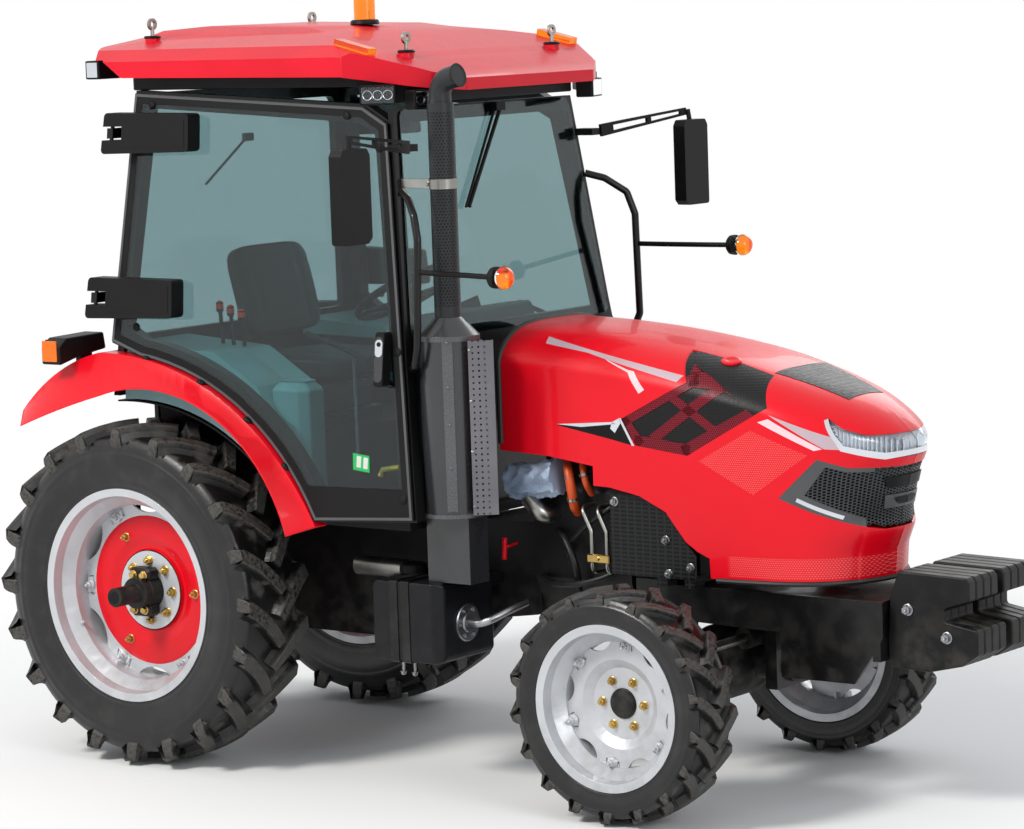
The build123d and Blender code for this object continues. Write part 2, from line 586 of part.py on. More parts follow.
def cab():
    """Welded cab frame, floor with wheel arches, lower panels and glass."""
    inner = GLASS_T + SEAL_GAP
    ring = side_panel(door_edge(10), inner, PILLAR_D) - side_panel(door_edge(-52), inner - 5, PILLAR_D + 10)
    frame = ring + mirror(ring, about=Plane.XZ)
    for strap in hinge_brackets():
        frame = frame + strap + mirror(strap, about=Plane.XZ)
    front = outline([(-640, FLOOR_Z), (640, FLOOR_Z), (600, 1480), (560, 1800), (505, 2312), (-505, 2312),
                     (-560, 1800), (-600, 1480)])
    opening = outline([(-560, 1560), (560, 1560), (478, 2262), (-478, 2262)], 30)
    pillars = along_x(front - opening, 900, 1400) & screen_slab(-RUN, 24)
    frame = frame + (pillars & block(900, 1400, -700, 700, 1484, 2400))
    frame = frame + block(1122, 1138, -600, 600, FLOOR_Z, 1500) + block(1122, 1165, -470, 470, 1484, 1500)
    back = outline([(-660, 1310), (660, 1310), (640, 1500), (545, 2376), (-545, 2376), (-640, 1500)])
    back_open = outline([(-580, 1520), (580, 1520), (500, 2320), (-500, 2320)], 30)
    frame = frame + (along_x(back - back_open, -300, 100) & back_slab(-8, 30))
    frame = frame + block(-130, -112, -440, 440, 1172, 1330)
    save("cab_frame", frame)
    screen = outline([(-SCREEN_FOOT_HALF, SCREEN_FOOT), (SCREEN_FOOT_HALF, SCREEN_FOOT),
                      (SCREEN_HEAD_HALF, SCREEN_HEAD), (-SCREEN_HEAD_HALF, SCREEN_HEAD)], 30)
    glass = along_x(screen, 900, 1400) & screen_slab(GLASS_T, GLASS_T)
    window = outline([(-600, 1500), (600, 1500), (518, 2350), (-518, 2350)], 30)
    rear = along_x(window, -300, 100) & back_slab(-2, GLASS_T - RUN)
    save("cab_glass", group(glass, rear))
    floor = block(620, 1180, -620, 620, FLOOR_Z - FLOOR_T, FLOOR_Z - RUN)
    for y0 in (-170, 100):
        floor = floor + block(640, 700, y0, y0 + 70, 853 + RUN, FLOOR_Z - FLOOR_T + 1)
    floor = floor + block(614, 622, -450, 450, FLOOR_Z - FLOOR_T, 1180)
    floor = floor + block(-111.7, 622, -450, 450, 1172, 1180)
    arch = make_face([ThreePointArc((-92, 1290), (350, 1200), (700, 895)), Line((700, 895), (706, 895)),
                      ThreePointArc((706, 895), (354, 1205), (-92, 1296)), Line((-92, 1296), (-92, 1290))])
    shell = along_y(arch, -1000, -442) & side_slab(GLASS_T + SEAL_GAP + PILLAR_D + RUN, 300)
    wall_face = outline([(-92, 895), (704, 895), (600, 1010), (354, 1203), (-92, 1293)])
    wall = along_y(wall_face, -450, -442)
    floor = floor + shell + wall + mirror(shell, about=Plane.XZ) + mirror(wall, about=Plane.XZ)
    save("cab_floor", floor)


def console():
    """Moulded side consoles over the wheel arches, with the lever slots on the right one."""
    face = make_face([ThreePointArc((-58, 1300), (360, 1212), (600, 1030)), Line((600, 1030), (640, 1180)),
                      Line((640, 1180), (520, 1360)), Line((520, 1360), (330, 1470)), Line((330, 1470), (-58, 1500)),
                      Line((-58, 1500), (-58, 1300))])
    right = along_y(face, -1000, -450.5) & side_slab(GLASS_T + SEAL_GAP + PILLAR_D + RUN, 340)
    slope = outline([(-58, 1440), (330, 1430), (500, 1340), (530, 1350), (330, 1470), (-58, 1500)])
    top = along_y(slope, -451, -320)
    save("cab_consoles", group(both(right + top)))
    levers = []
    for x, tall in ((200, 130), (250, 120), (300, 110)):
        foot_z = 1470 + (330 - x) * 0.077 + 1.5
        levers.append(rod((x, -420, foot_z + 0.3), (x - 10, -420, foot_z + tall), 7) +
                      Pos(x - 10, -420, foot_z + tall) * Cylinder(13, 34))
    save("control_levers", group(*levers))


def seat():
    """Driver's seat: base, sprung cushion and backrest."""
    base = block(60, 440, -170, 170, 1180 + RUN, 1210) + block(90, 410, -140, 140, 1209, 1290)
    base = base + block(50, 450, -190, 190, 1289, 1320 - RUN)
    bracket = outline([(20, 1300), (80, 1300), (74, 1480), (10, 1480)])
    save("seat_base", base + along_y(bracket, -60, 60))
    slot = along_y(offset(bracket, RUN), -60 - RUN, 60 + RUN)
    cushion = along_y(outline([(78, 1320), (540, 1330), (560, 1400), (520, 1440), (90, 1425)], 25), -240, 240)
    cushion = cushion - slot
    back = along_y(outline([(80, 1432), (-20, 1800), (20, 1832), (80, 1800), (170, 1450)], 20), -215, 215)
    back = back - slot
    save("seat_cushions", group(cushion, back))


def controls():
    """Dash tower and the steering wheel on its column."""
    dash = along_y(outline([(900, FLOOR_Z + RUN), (1100, FLOOR_Z + RUN), (1110, 1480), (1070, 1600), (960, 1590),
                            (900, 1480), (880, 1200)], 20), -240, 240)
    tilt = Vector(-0.5, 0, 0.866)
    top = Vector(700, 0, 1640)
    foot = top - tilt * 330
    shaft_end = top - tilt * 20
    column = rod(tuple(foot), tuple(top - tilt * 140), 30)
    column = column + rod((foot.X - 5, 0, foot.Z + 10), (935, 0, foot.Z + 60), 26)
    save("dashboard", dash + column)
    plane = Plane(origin=top, z_dir=tilt)
    section = [(185 + 14 * math.cos(math.radians(45 * k)), 14 * math.sin(math.radians(45 * k))) for k in range(8)]
    ring = plane * revolve(Plane.XZ * outline(section), Axis.Z, 360)
    hub = plane * (Pos(0, 0, -25) * Cylinder(38, 40))
    wheel = ring + hub + rod(tuple(top - tilt * 140 + tilt * RUN), tuple(shaft_end), 14)
    for k in range(3):
        ang = math.radians(120 * k + 90)
        tip = plane.from_local_coords(Vector(183 * math.cos(ang), 183 * math.sin(ang), 0))
        wheel = wheel + rod(tuple(top - tilt * 22), tuple(tip), 9)
    save("steering_wheel", wheel)


def roof():
    """Moulded roof with raised centre, chamfered front corners and the black liner below it."""
    plan = outline([(ROOF_REAR, -540), (-140, -ROOF_HALF), (985, -ROOF_HALF), (1225, -470), (ROOF_FRONT, -365),
                    (ROOF_FRONT, 365), (1225, 470), (985, ROOF_HALF), (-140, ROOF_HALF), (ROOF_REAR, 540)], 22)
    side = outline([(ROOF_REAR - 5, 2496), (-110, 2496), (-20, ROOF_EDGE_Z), (980, ROOF_EDGE_Z - 10),
                    (1180, ROOF_NOSE_Z + 18), (ROOF_FRONT + 5, ROOF_NOSE_Z), (ROOF_FRONT + 5, 2405), (1190, 2446),
                    (1040, 2496), (820, 2550), (560, 2588), (80, ROOF_TOP_Z), (-120, 2590), (ROOF_REAR - 5, 2540)])
    cross = outline([(-ROOF_HALF - 5, 2340), (ROOF_HALF + 5, 2340), (ROOF_HALF, 2490), (590, 2530), (350, 2572),
                     (290, ROOF_TOP_Z), (-290, ROOF_TOP_Z), (-350, 2572), (-590, 2530), (-ROOF_HALF, 2490)])
    shell = along_z(plan, 2300, 2700) & along_y(side, -700, 700) & along_x(cross, -300, 1400)
    for x, y, z in EYE_PLACES:
        for side in (-1, 1):
            shell = shell + Pos(x, side * y, z - 30) * Cylinder(28, 60)
    save("roof_shell", shell)
    liner_plan = outline([(-60, -560), (960, -545), (1100, -470), (1180, -380), (1180, 380), (1100, 470), (960, 545),
                          (-60, 560)], 20)
    liner_side = outline([(-80, CAB_TOP + 10 + RUN), (960, CAB_TOP + 10 + RUN), (1060, 2330), (1210, 2330),
                          (1210, ROOF_NOSE_Z + 12), (985, ROOF_EDGE_Z - 11), (-80, ROOF_EDGE_Z - RUN)])
    save("roof_liner", along_z(liner_plan, 2300, 2500) & along_y(liner_side, -700, 700))


def roof_fittings():
    """Lifting eyes on bosses at the roof's four corners."""
    eyes = []
    for x, y, z in EYE_PLACES:
        for side in (-1, 1):
            ring = Pos(x, side * y, z + 50) * Rot(0, 90, 0) * (Cylinder(21, 10) - Cylinder(11, 12))
            stem = Pos(x, side * y, z + 20) * Cylinder(7, 36)
            foot = Pos(x, side * y, z + RUN + 4) * Cylinder(20, 8)
            eyes.append(ring + stem + foot)
    save("lifting_eyes", group(*eyes))


def exhaust():
    """Muffler can, its heat shield, and the perforated stack with a curved outlet."""
    x, y = EXHAUST_X, EXHAUST_Y
    can = Pos(x, y, 1250) * Cylinder(MUFFLER_R, 610) + Pos(x, y, 1585) * Cone(MUFFLER_R, STACK_R, 60)
    save("muffler", can + block(x - 90, x + 90, y - 45, y + 60, TANK_TOP + RUN, 950))
    stack = Pos(x, y, (1615 + RUN + STACK_TOP) / 2) * Cylinder(STACK_R, STACK_TOP - 1615 - RUN)
    elbow = bent_tube([(x, y, STACK_TOP - 1), (x, y, STACK_TOP + 70), (x + 80, y, STACK_TOP + 90)], 55, 38)
    save("exhaust_stack", stack + elbow)
    near = MUFFLER_R + 1
    corner = [(x + near - 63, y + near), (x + near + 15, y + 30), (x + near + 23, y + 38), (x + near - 55, y + near + 8)]
    shield = along_z(outline(corner), 950, 1530)
    save("heat_shield", shield)


def hood_hull(wall):
    """Solid hood shape lofted through cross sections, trimmed by its side outline, wall smaller all round."""
    w = wall
    sections = []
    # x, half width, height where the shoulder starts, shoulder's inner edge, its height, crown height
    for x, half, low, inner_y, high, crown in ((HOOD_REAR, 335, 1440, 262, 1545, 1572),
                                               (1620, 335, 1419, 260, 1529, 1557),
                                               (1880, 335, 1395, 256, 1508, 1531),
                                               (2170, 333, 1352, 248, 1462, 1482),
                                               (2400, 316, 1304, 226, 1408, 1420),
                                               (2600, 268, 1250, 184, 1342, 1354),
                                               (2740, 205, 1212, 128, 1284, 1292),
                                               (2812, 140, 1186, 84, 1226, 1230)):
        h, z0, y1, z1, zc = half - w, low - w * 0.6, inner_y - w * 0.6, high - w, crown - w
        edges = [Line((-h, 700), (h, 700)), Line((h, 700), (h, z0)), Line((h, z0), (y1, z1)),
                 ThreePointArc((y1, z1), (0, zc), (-y1, z1)), Line((-y1, z1), (-h, z0)), Line((-h, z0), (-h, 700))]
        sections.append(Plane((x, 0, 0), x_dir=(0, 1, 0), z_dir=(1, 0, 0)) * make_face(edges))
    side = outline([(HOOD_REAR, 1140), (1740, 1110), (1760, 1045), (1925, 1020), (2030, 971), (2106, 877),
                    (2196, 828), (2200, 758), (2705 - w, 765), (2712 - w, 850), (2740 - w, 920), (2735 - w, 960),
                    (2770 - w, 1100), (HOOD_NOSE - w, 1165), (HOOD_NOSE - w, 1235), (HOOD_NOSE - 50 - w, 1700),
                    (HOOD_REAR, 1700)])
    return loft(sections) & along_y(side, -400, 400)


def hood():
    """One-piece hood hinged at the rear: even wall, side windows, front mouth and lamp openings."""
    outer = hood_hull(0)
    inner = hood_hull(HOOD_WALL)
    window = [(1965, 1500), (2270, 1438), (2392, 1312), (2112, 1162), (1903, 1188), (1852, 1269), (2090, 1398)]
    mouth = [(2450, 1037), (2580, 1165), (2665, 1136), (2900, 1124), (2900, 938), (2720, 925), (2618, 966)]
    lamp = [(2600, 1292), (2651, 1262), (2900, 1232), (2900, 1160), (2754, 1160), (2649, 1202)]
    right_half = block(1300, 2900, -400, -205, 700, 1600)
    side_windows = both(along_y(outline(window, 6), -400, 0) & right_half)
    opening = group(side_windows, along_y(outline(mouth), -400, 400), along_y(outline(lamp), -400, 400))
    lug = outline([(HOOD_PIVOT_X - 22, HOOD_PIVOT_Z - 22), (HOOD_PIVOT_X + 22, HOOD_PIVOT_Z - 22),
                   (HOOD_PIVOT_X + 40, 1600), (HOOD_PIVOT_X - 40, 1600)])
    lugs = along_y(lug, -102, -90) + along_y(lug, 90, 102)
    bore = rod((HOOD_PIVOT_X, -120, HOOD_PIVOT_Z), (HOOD_PIVOT_X, 120, HOOD_PIVOT_Z), HOOD_PIN_R + RUN)
    lugs = (lugs - bore) & outer
    shell = outer - inner - Pos(0, 0, -30) * inner - Pos(-30, 0, 0) * inner
    for cut in opening.solids():
        shell = shell - cut
    save("hood_panel", shell + lugs)
    mesh = hood_hull(HOOD_WALL + RUN) - hood_hull(HOOD_WALL + RUN + 4)
    grown = along_y(offset(outline(window), 12), -400, 0) & block(1300, 2900, -400, -180, 700, 1600)
    mouth_mesh = (hood_hull(2) - hood_hull(9)) & along_y(offset(outline(mouth), -RUN), -400, 400)
    save("hood_grilles", group(both(mesh & grown), mouth_mesh))
    lens = (hood_hull(1) - hood_hull(46)) & along_y(offset(outline(lamp), -RUN), -400, 400)
    save("headlamps", group(lens - block(2500, 2900, -10, 10, 1100, 1400)))


def arc_band(first, second, third, end_one, end_two, shift):
    """Thin face between two joined arcs and the same arcs moved by shift."""
    dx, dz = shift

    def moved(p):
        return (p[0] + dx, p[1] + dz)
    tail_mid, tail_end, main_mid = first, second, third
    upper = [ThreePointArc(end_one, tail_mid, tail_end), ThreePointArc(tail_end, main_mid, end_two)]
    lower = [ThreePointArc(moved(end_two), moved(main_mid), moved(tail_end)),
             ThreePointArc(moved(tail_end), moved(tail_mid), moved(end_one))]
    return make_face([upper[0], upper[1], Line(end_two, moved(end_two)), lower[0], lower[1],
                      Line(moved(end_one), end_one)])


def stand(face, y):
    """Stand a face drawn as (x, z) upright at one y."""
    return Plane((0, y, 0), x_dir=(1, 0, 0), z_dir=(0, -1, 0)) * face


def crown_point(x):
    """Point on the fender's crown edge as (x, z)."""
    return (x, FENDER_Z + math.sqrt(FENDER_R ** 2 - (x - FENDER_X) ** 2))


def fenders():
    """Red fender bands outside the cab, each running back into a full-width tail."""
    wall = (-4.0, -6.0)
    lip = arc_band((-260, 1273), (-60, 1330), (560, 1208), (-462, 1203), (772, 880), wall)
    crown = arc_band((-345, 1386), crown_point(-135), crown_point(428), (-520, 1247), crown_point(838), wall)
    band = loft([stand(lip, -788), stand(crown, -712)], ruled=True)
    inner = arc_band((-345, 1386), (-235, 1438), (-180, 1455), (-520, 1247), crown_point(-135), wall)
    tail = along_y(inner, -712.5, -470)
    flange = along_y(crown, -712.5, -560)
    flange = flange & side_slab(-60, 118) & block(-160, 900, -720, -560, 880, 1500)
    right = band + tail + flange
    save("rear_fenders", group(both(right)))


def mirrors():
    """Outside mirrors on slotted arms from the front pillars."""
    root = Vector(1172, -552, 2183)
    tip = Vector(1262, -975, 2232)
    across = (tip - root).normalized()
    plane = Plane(origin=root, x_dir=across, z_dir=(1, 0.2, 0))
    arm = extrude(plane * outline([(0, -22), (0, 22), (120, 20), (430, 13), (430, -13), (120, -20)]), amount=12)
    arm = arm - extrude(plane * outline([(60, -10), (60, 10), (230, 8), (230, -8)]), amount=40, both=True)
    arm = arm - extrude(plane * outline([(250, -8), (250, 8), (400, 5), (400, -5)]), amount=40, both=True)
    drop = rod((1270, -972, 2238), (1274, -979, 2190), 9)
    head = along_x(outline([(-1054, 1891), (-1054, 2180), (-1040, 2201), (-920, 2201), (-905, 2180), (-905, 1910),
                            (-925, 1891)], 12), 1250, 1300)
    low = 2168
    bracket = block(1080, 1178, -556, -screen_half(low) - 2, low, low + 24) - screen_slab(0, 100)
    save("mirrors", group(both(arm + drop + bracket), both(head - drop)))


def signals():
    """Turn signals on straight stalks from the handrails."""
    stalk = bent_tube([(1276.6, -632, 1772), (1450, -655, 1770), (1628, -690, 1768)], 60, 9)
    lamp = Pos(1640, -697, 1768) * Rot(0, 90, 0) * Cylinder(36, 30) + Pos(1672, -702, 1768) * Sphere(38)
    save("turn_signals", group(both(stalk + lamp)))


def handrails():
    """Bent grab rails outside the front pillars."""
    rail = bent_tube([(1122, -526, 2032), (1180, -565, 2012), (1240, -614, 1960), (1264, -628, 1880),
                      (1260, -645, 1520), (1236, -632, 1456), (1188.5, -588, 1440)], 24, 13)
    save("handrails", group(both(rail)))


def lamps():
    """Work lamps under the roof corners, rear lamps on the fenders, beacon and side markers."""
    pieces = []
    for x, y, z, turn in ((1085, 590, 2360.6, 50), (1190, 470, 2340.2, 20), (-165, 585, 2462.6, 180)):
        lamp = Pos(x, -y, z) * Rot(0, 0, -turn) * Box(62, 118, 66)
        pieces.append(lamp)
    save("work_lamps", group(*[both(p) for p in pieces]))
    marker = Pos(982, -573, 2522) * Rot(0, 13.8, 0) * Box(150, 44, 22)
    beacon = Pos(560, 0, ROOF_TOP_Z - 4) * Cylinder(46, 16) + Pos(560, 0, ROOF_TOP_Z + 40) * Cylinder(38, 78)
    save("roof_beacons", group(both(marker), beacon))
    lamp = along_x(outline([(-800, 1425), (-800, 1490), (-760, 1520), (-570, 1525), (-560, 1465), (-700, 1448)], 8),
                   -330, -240)
    foot = block(-300, -270, -660, -600, 1370, 1470) - Pos(TAIL_X, -600, TAIL_Z) * Rot(90, 0, 0) * Cylinder(
        TAIL_R + RUN, 400)
    save("rear_lamps", group(both(lamp + foot)))


def wipers():
    """Windscreen wiper with twin arms."""
    front = rod((1108, 60, 2296), (1146, -190, 1960), 7) + rod((1106, 30, 2296), (1144, -205, 1960), 5)
    front = front + block(1092.9, 1120, 20, 70, 2280, 2310)
    save("wipers", front)


cab()
console()
seat()
controls()
roof()
roof_fittings()
exhaust()
hood()
fenders()
mirrors()
signals()
handrails()
lamps()
wipers()

front_frame()
front_weights()
engine()
side_guards()
transmission()
fuel_tank()
rear_hitch()
linkage()
front_axle()
for SIDE, TAG in ((-1, "right"), (1, "left")):
    rear_wheel(SIDE, TAG)
    front_wheel(SIDE, TAG)
doors()
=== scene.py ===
import json
import math

import bmesh
import bpy
import numpy as np
from mathutils import Matrix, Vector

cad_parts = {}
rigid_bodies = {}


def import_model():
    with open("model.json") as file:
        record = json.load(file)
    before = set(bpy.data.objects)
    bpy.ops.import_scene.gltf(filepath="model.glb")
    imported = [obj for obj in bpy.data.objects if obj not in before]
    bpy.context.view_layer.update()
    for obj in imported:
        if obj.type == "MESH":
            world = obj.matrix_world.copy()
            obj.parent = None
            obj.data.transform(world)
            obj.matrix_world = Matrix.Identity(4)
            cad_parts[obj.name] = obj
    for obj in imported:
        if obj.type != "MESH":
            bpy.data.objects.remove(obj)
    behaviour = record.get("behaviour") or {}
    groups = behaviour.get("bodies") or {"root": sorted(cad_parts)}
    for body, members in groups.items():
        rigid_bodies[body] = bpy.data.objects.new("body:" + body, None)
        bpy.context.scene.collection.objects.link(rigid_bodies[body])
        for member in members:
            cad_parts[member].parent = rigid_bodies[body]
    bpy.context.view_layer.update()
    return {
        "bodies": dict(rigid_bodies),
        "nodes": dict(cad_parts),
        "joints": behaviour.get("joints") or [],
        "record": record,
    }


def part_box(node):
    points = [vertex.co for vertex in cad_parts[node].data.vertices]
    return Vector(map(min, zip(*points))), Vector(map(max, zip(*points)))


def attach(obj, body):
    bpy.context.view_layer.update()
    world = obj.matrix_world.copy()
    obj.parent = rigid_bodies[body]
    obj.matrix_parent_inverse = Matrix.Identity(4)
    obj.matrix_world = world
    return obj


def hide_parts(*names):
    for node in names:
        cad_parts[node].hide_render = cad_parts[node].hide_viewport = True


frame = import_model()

# ---------------------------------------------------------------- yard, lamps and camera
# A pale yard that turns white with distance, a white sky, one large soft lamp high on the right as
# the sun and two weak fills. The camera stands off the front right corner with a long lens.
nodes = frame["nodes"]
joint = {j["name"]: j for j in frame["joints"]}
body_of = {node: body for body, held in frame["record"]["behaviour"]["bodies"].items() for node in held}
REAR_X, REAR_Z = joint["rear_wheel_right_spin"]["pos_m"][0], joint["rear_wheel_right_spin"]["pos_m"][2]
FRONT_X, FRONT_Z = joint["front_wheel_right_spin"]["pos_m"][0], joint["front_wheel_right_spin"]["pos_m"][2]


def add_node(tree, kind, inputs=None, **props):
    """Add one shader node; each input takes a plain value or another node's output."""
    made = tree.nodes.new("ShaderNode" + kind)
    for name, value in props.items():
        setattr(made, name, value)
    for key, value in (inputs or {}).items():
        if isinstance(value, bpy.types.NodeSocket):
            tree.links.new(value, made.inputs[key])
        else:
            made.inputs[key].default_value = value
    return made


def calc(tree, operation, a, b=0.0, c=0.0):
    """Output of one math node over two or three values or sockets."""
    return add_node(tree, "Math", {0: a, 1: b, 2: c}, operation=operation).outputs[0]


def ramp(tree, value, low, high):
    """Smooth rise from 0 at low to 1 at high."""
    made = add_node(tree, "MapRange", {"Value": value, "From Min": low, "From Max": high},
                    interpolation_type="SMOOTHSTEP")
    return made.outputs["Result"]


def mix_colour(tree, factor, first, second):
    """First colour where the factor is 0, second where it is 1."""
    return add_node(tree, "Mix", {0: factor, 6: first, 7: second}, data_type="RGBA").outputs[2]


def srgb(red, green, blue):
    """Linear colour for a colour in steps of 0 to 255."""
    c = np.array([red, green, blue]) / 255.0
    return (*np.where(c <= 0.04045, c / 12.92, ((c + 0.055) / 1.055) ** 2.4).tolist(), 1.0)


def new_material(name):
    """Empty material, its tree and its Principled shader."""
    made = bpy.data.materials.new(name)
    made.use_nodes = True
    return made, made.node_tree, made.node_tree.nodes["Principled BSDF"]


def mesh_of(name, verts, face_sets, smooth=False):
    """Mesh from an array of vertices and face arrays that each hold faces of one corner count."""
    mesh = bpy.data.meshes.new(name)
    face_sets = [np.asarray(f, np.int32) for f in face_sets if len(f)]
    counts = np.concatenate([np.full(len(f), f.shape[1]) for f in face_sets])
    mesh.vertices.add(len(verts))
    mesh.vertices.foreach_set("co", np.asarray(verts, np.float32).ravel())
    mesh.loops.add(int(counts.sum()))
    mesh.loops.foreach_set("vertex_index", np.concatenate([f.ravel() for f in face_sets]))
    mesh.polygons.add(len(counts))
    mesh.polygons.foreach_set("loop_start", np.concatenate([[0], np.cumsum(counts)[:-1]]).astype(np.int32))
    mesh.polygons.foreach_set("use_smooth", np.full(len(counts), smooth))
    mesh.update(calc_edges=True)
    mesh.validate()
    return mesh


def add_object(mesh, material):
    """Object at the origin for a mesh that lies in its place already."""
    obj = bpy.data.objects.new(mesh.name, mesh)
    bpy.context.scene.collection.objects.link(obj)
    mesh.materials.append(material)
    return obj


def see_white(tree, surface, amount):
    """Mix plain white into a surface, only where camera, mirror and glass rays meet it."""
    rays = add_node(tree, "LightPath")
    seen = calc(tree, "MAXIMUM", rays.outputs["Is Camera Ray"], rays.outputs["Is Glossy Ray"])
    seen = calc(tree, "MAXIMUM", seen, rays.outputs["Is Transmission Ray"])
    factor = calc(tree, "MULTIPLY", seen, amount)
    white = add_node(tree, "Emission")
    return add_node(tree, "MixShader", {0: factor, 1: surface, 2: white.outputs[0]}).outputs[0]


def yard():
    """Square of pale ground 120 m wide, white beyond a few metres from the tractor."""
    mat, tree, body = new_material("yard")
    body.inputs["Base Color"].default_value = srgb(236, 236, 236)
    body.inputs["Roughness"].default_value = 0.9
    place = add_node(tree, "TexCoord")
    away = add_node(tree, "VectorMath", {0: place.outputs["Object"]}, operation="LENGTH")
    amount = ramp(tree, away.outputs["Value"], 1.8, 4.6)
    tree.links.new(see_white(tree, body.outputs[0], amount), tree.nodes["Material Output"].inputs[0])
    half = 60.0
    verts = [(-half, -half, 0), (half, -half, 0), (half, half, 0), (-half, half, 0)]
    add_object(mesh_of("yard", np.array(verts), [[[0, 1, 2, 3]]]), mat)


def sky():
    """White to the camera, an even cool light for everything else."""
    world = bpy.data.worlds.new("sky")
    bpy.context.scene.world = world
    world.use_nodes = True
    tree = world.node_tree
    light = tree.nodes["Background"]
    light.inputs["Color"].default_value = (0.92, 0.96, 1.0, 1)
    light.inputs["Strength"].default_value = 0.6
    tree.links.new(see_white(tree, light.outputs[0], 1.0), tree.nodes["World Output"].inputs[0])


def lamp(name, at, size, watts, colour):
    """Square soft lamp that shines at the middle of the tractor."""
    data = bpy.data.lights.new(name, "AREA")
    data.size, data.energy, data.color = size, watts, colour
    obj = bpy.data.objects.new(name, data)
    bpy.context.scene.collection.objects.link(obj)
    obj.location = at
    obj.rotation_euler = (math.atan2(math.hypot(at[0], at[1]), at[2] - 1.0), 0, math.atan2(at[0], -at[1]))


def stand_camera(at, yaw, pitch, roll, lens):
    """Camera turned by yaw from +Y, tipped down by pitch and rolled, all in degrees."""
    yaw, pitch, roll = (math.radians(a) for a in (yaw, pitch, roll))
    ahead = np.array([-math.sin(yaw) * math.cos(pitch), math.cos(yaw) * math.cos(pitch), -math.sin(pitch)])
    right = np.array([math.cos(yaw), math.sin(yaw), 0.0])
    up = np.cross(right, ahead)
    place = np.eye(4)
    place[:3, 0] = right * math.cos(roll) + up * math.sin(roll)
    place[:3, 1] = up * math.cos(roll) - right * math.sin(roll)
    place[:3, 2], place[:3, 3] = -ahead, at
    data = bpy.data.cameras.new("camera")
    data.sensor_width, data.lens, data.clip_end = 36.0, lens, 200.0
    obj = bpy.data.objects.new("camera", data)
    bpy.context.scene.collection.objects.link(obj)
    obj.matrix_world = Matrix(place.tolist())
    bpy.context.scene.camera = obj


yard()
sky()
lamp("sun", (-2.5, -8.0, 8.0), 2.4, 900, (1.0, 0.98, 0.94))
lamp("front_fill", (9.0, -3.5, 4.5), 4.0, 240, (0.95, 0.98, 1.0))
lamp("left_fill", (-1.0, 9.0, 6.0), 5.0, 240, (1.0, 1.0, 1.0))
stand_camera((REAR_X + 8.843, -10.110, 2.703), 37.25, 6.66, -1.99, 128.6)
bpy.context.scene.view_settings.view_transform = "Standard"

# ---------------------------------------------------------------- castings, frame and engine
# Cast and welded parts below the cab: black enamel over sand-cast iron and plate, dusty on low and
# upturned faces. One node group ages every paint on the tractor.


def weather_group():
    """Ages a finish: broad drifts between two shades, settled dust on low or upturned faces, fine
    grain for gloss and bump. Dust grows below the given height and on faces that look up."""
    tree = bpy.data.node_groups.new("weather", "ShaderNodeTree")
    sockets = (("Shade A", "NodeSocketColor"), ("Shade B", "NodeSocketColor"), ("Dust", "NodeSocketFloat"),
               ("Height", "NodeSocketFloat"), ("Gloss", "NodeSocketFloat"), ("Grain", "NodeSocketFloat"),
               ("Relief", "NodeSocketFloat"))
    for name, kind in sockets:
        tree.interface.new_socket(name, in_out="INPUT", socket_type=kind)
    for name, kind in (("Color", "NodeSocketColor"), ("Roughness", "NodeSocketFloat"),
                       ("Normal", "NodeSocketVector")):
        tree.interface.new_socket(name, in_out="OUTPUT", socket_type=kind)
    given = tree.nodes.new("NodeGroupInput").outputs
    place = add_node(tree, "TexCoord").outputs["Object"]
    broad = add_node(tree, "TexNoise", {"Vector": place, "Scale": 4.0, "Detail": 5.0}).outputs[0]
    patch = add_node(tree, "TexNoise", {"Vector": place, "Scale": 17.0, "Detail": 6.0}).outputs[0]
    grain = add_node(tree, "TexNoise", {"Vector": place, "Scale": given["Grain"], "Detail": 3.0}).outputs[0]
    xyz = add_node(tree, "SeparateXYZ", {0: place}).outputs
    facing = add_node(tree, "SeparateXYZ", {0: add_node(tree, "NewGeometry").outputs["Normal"]}).outputs["Z"]
    low = calc(tree, "SUBTRACT", 1.0, ramp(tree, xyz["Z"], 0.1, given["Height"]))
    settled = calc(tree, "MULTIPLY", ramp(tree, facing, 0.3, 1.0), 0.55)
    dust = calc(tree, "MULTIPLY", calc(tree, "ADD", low, settled), ramp(tree, patch, 0.36, 0.68))
    dust = calc(tree, "MINIMUM", calc(tree, "MULTIPLY", dust, given["Dust"]), 0.9)
    colour = mix_colour(tree, ramp(tree, broad, 0.3, 0.7), given["Shade A"], given["Shade B"])
    colour = mix_colour(tree, dust, colour, srgb(104, 99, 92))
    rough = calc(tree, "MULTIPLY_ADD", grain, 0.16, calc(tree, "SUBTRACT", given["Gloss"], 0.08))
    rough = calc(tree, "MULTIPLY_ADD", dust, 0.5, rough)
    bump = add_node(tree, "Bump", {"Height": grain, "Strength": given["Relief"], "Distance": 0.002})
    out = tree.nodes.new("NodeGroupOutput").inputs
    for name, value in (("Color", colour), ("Roughness", rough), ("Normal", bump.outputs[0])):
        tree.links.new(value, out[name])
    return tree


WEATHER = weather_group()


def weathered(tree, body, shade_a, shade_b, dust=0.4, height=0.9, gloss=0.4, grain=300.0, relief=0.1):
    """Plug the weather group into a Principled shader; returns the group node."""
    group = tree.nodes.new("ShaderNodeGroup")
    group.node_tree = WEATHER
    values = (shade_a, shade_b, dust, height, gloss, grain, relief)
    for socket, value in zip(group.inputs, values):
        if isinstance(value, bpy.types.NodeSocket):
            tree.links.new(value, socket)
        else:
            socket.default_value = value
    for out, into in (("Color", "Base Color"), ("Roughness", "Roughness"), ("Normal", "Normal")):
        tree.links.new(group.outputs[out], body.inputs[into])
    return group


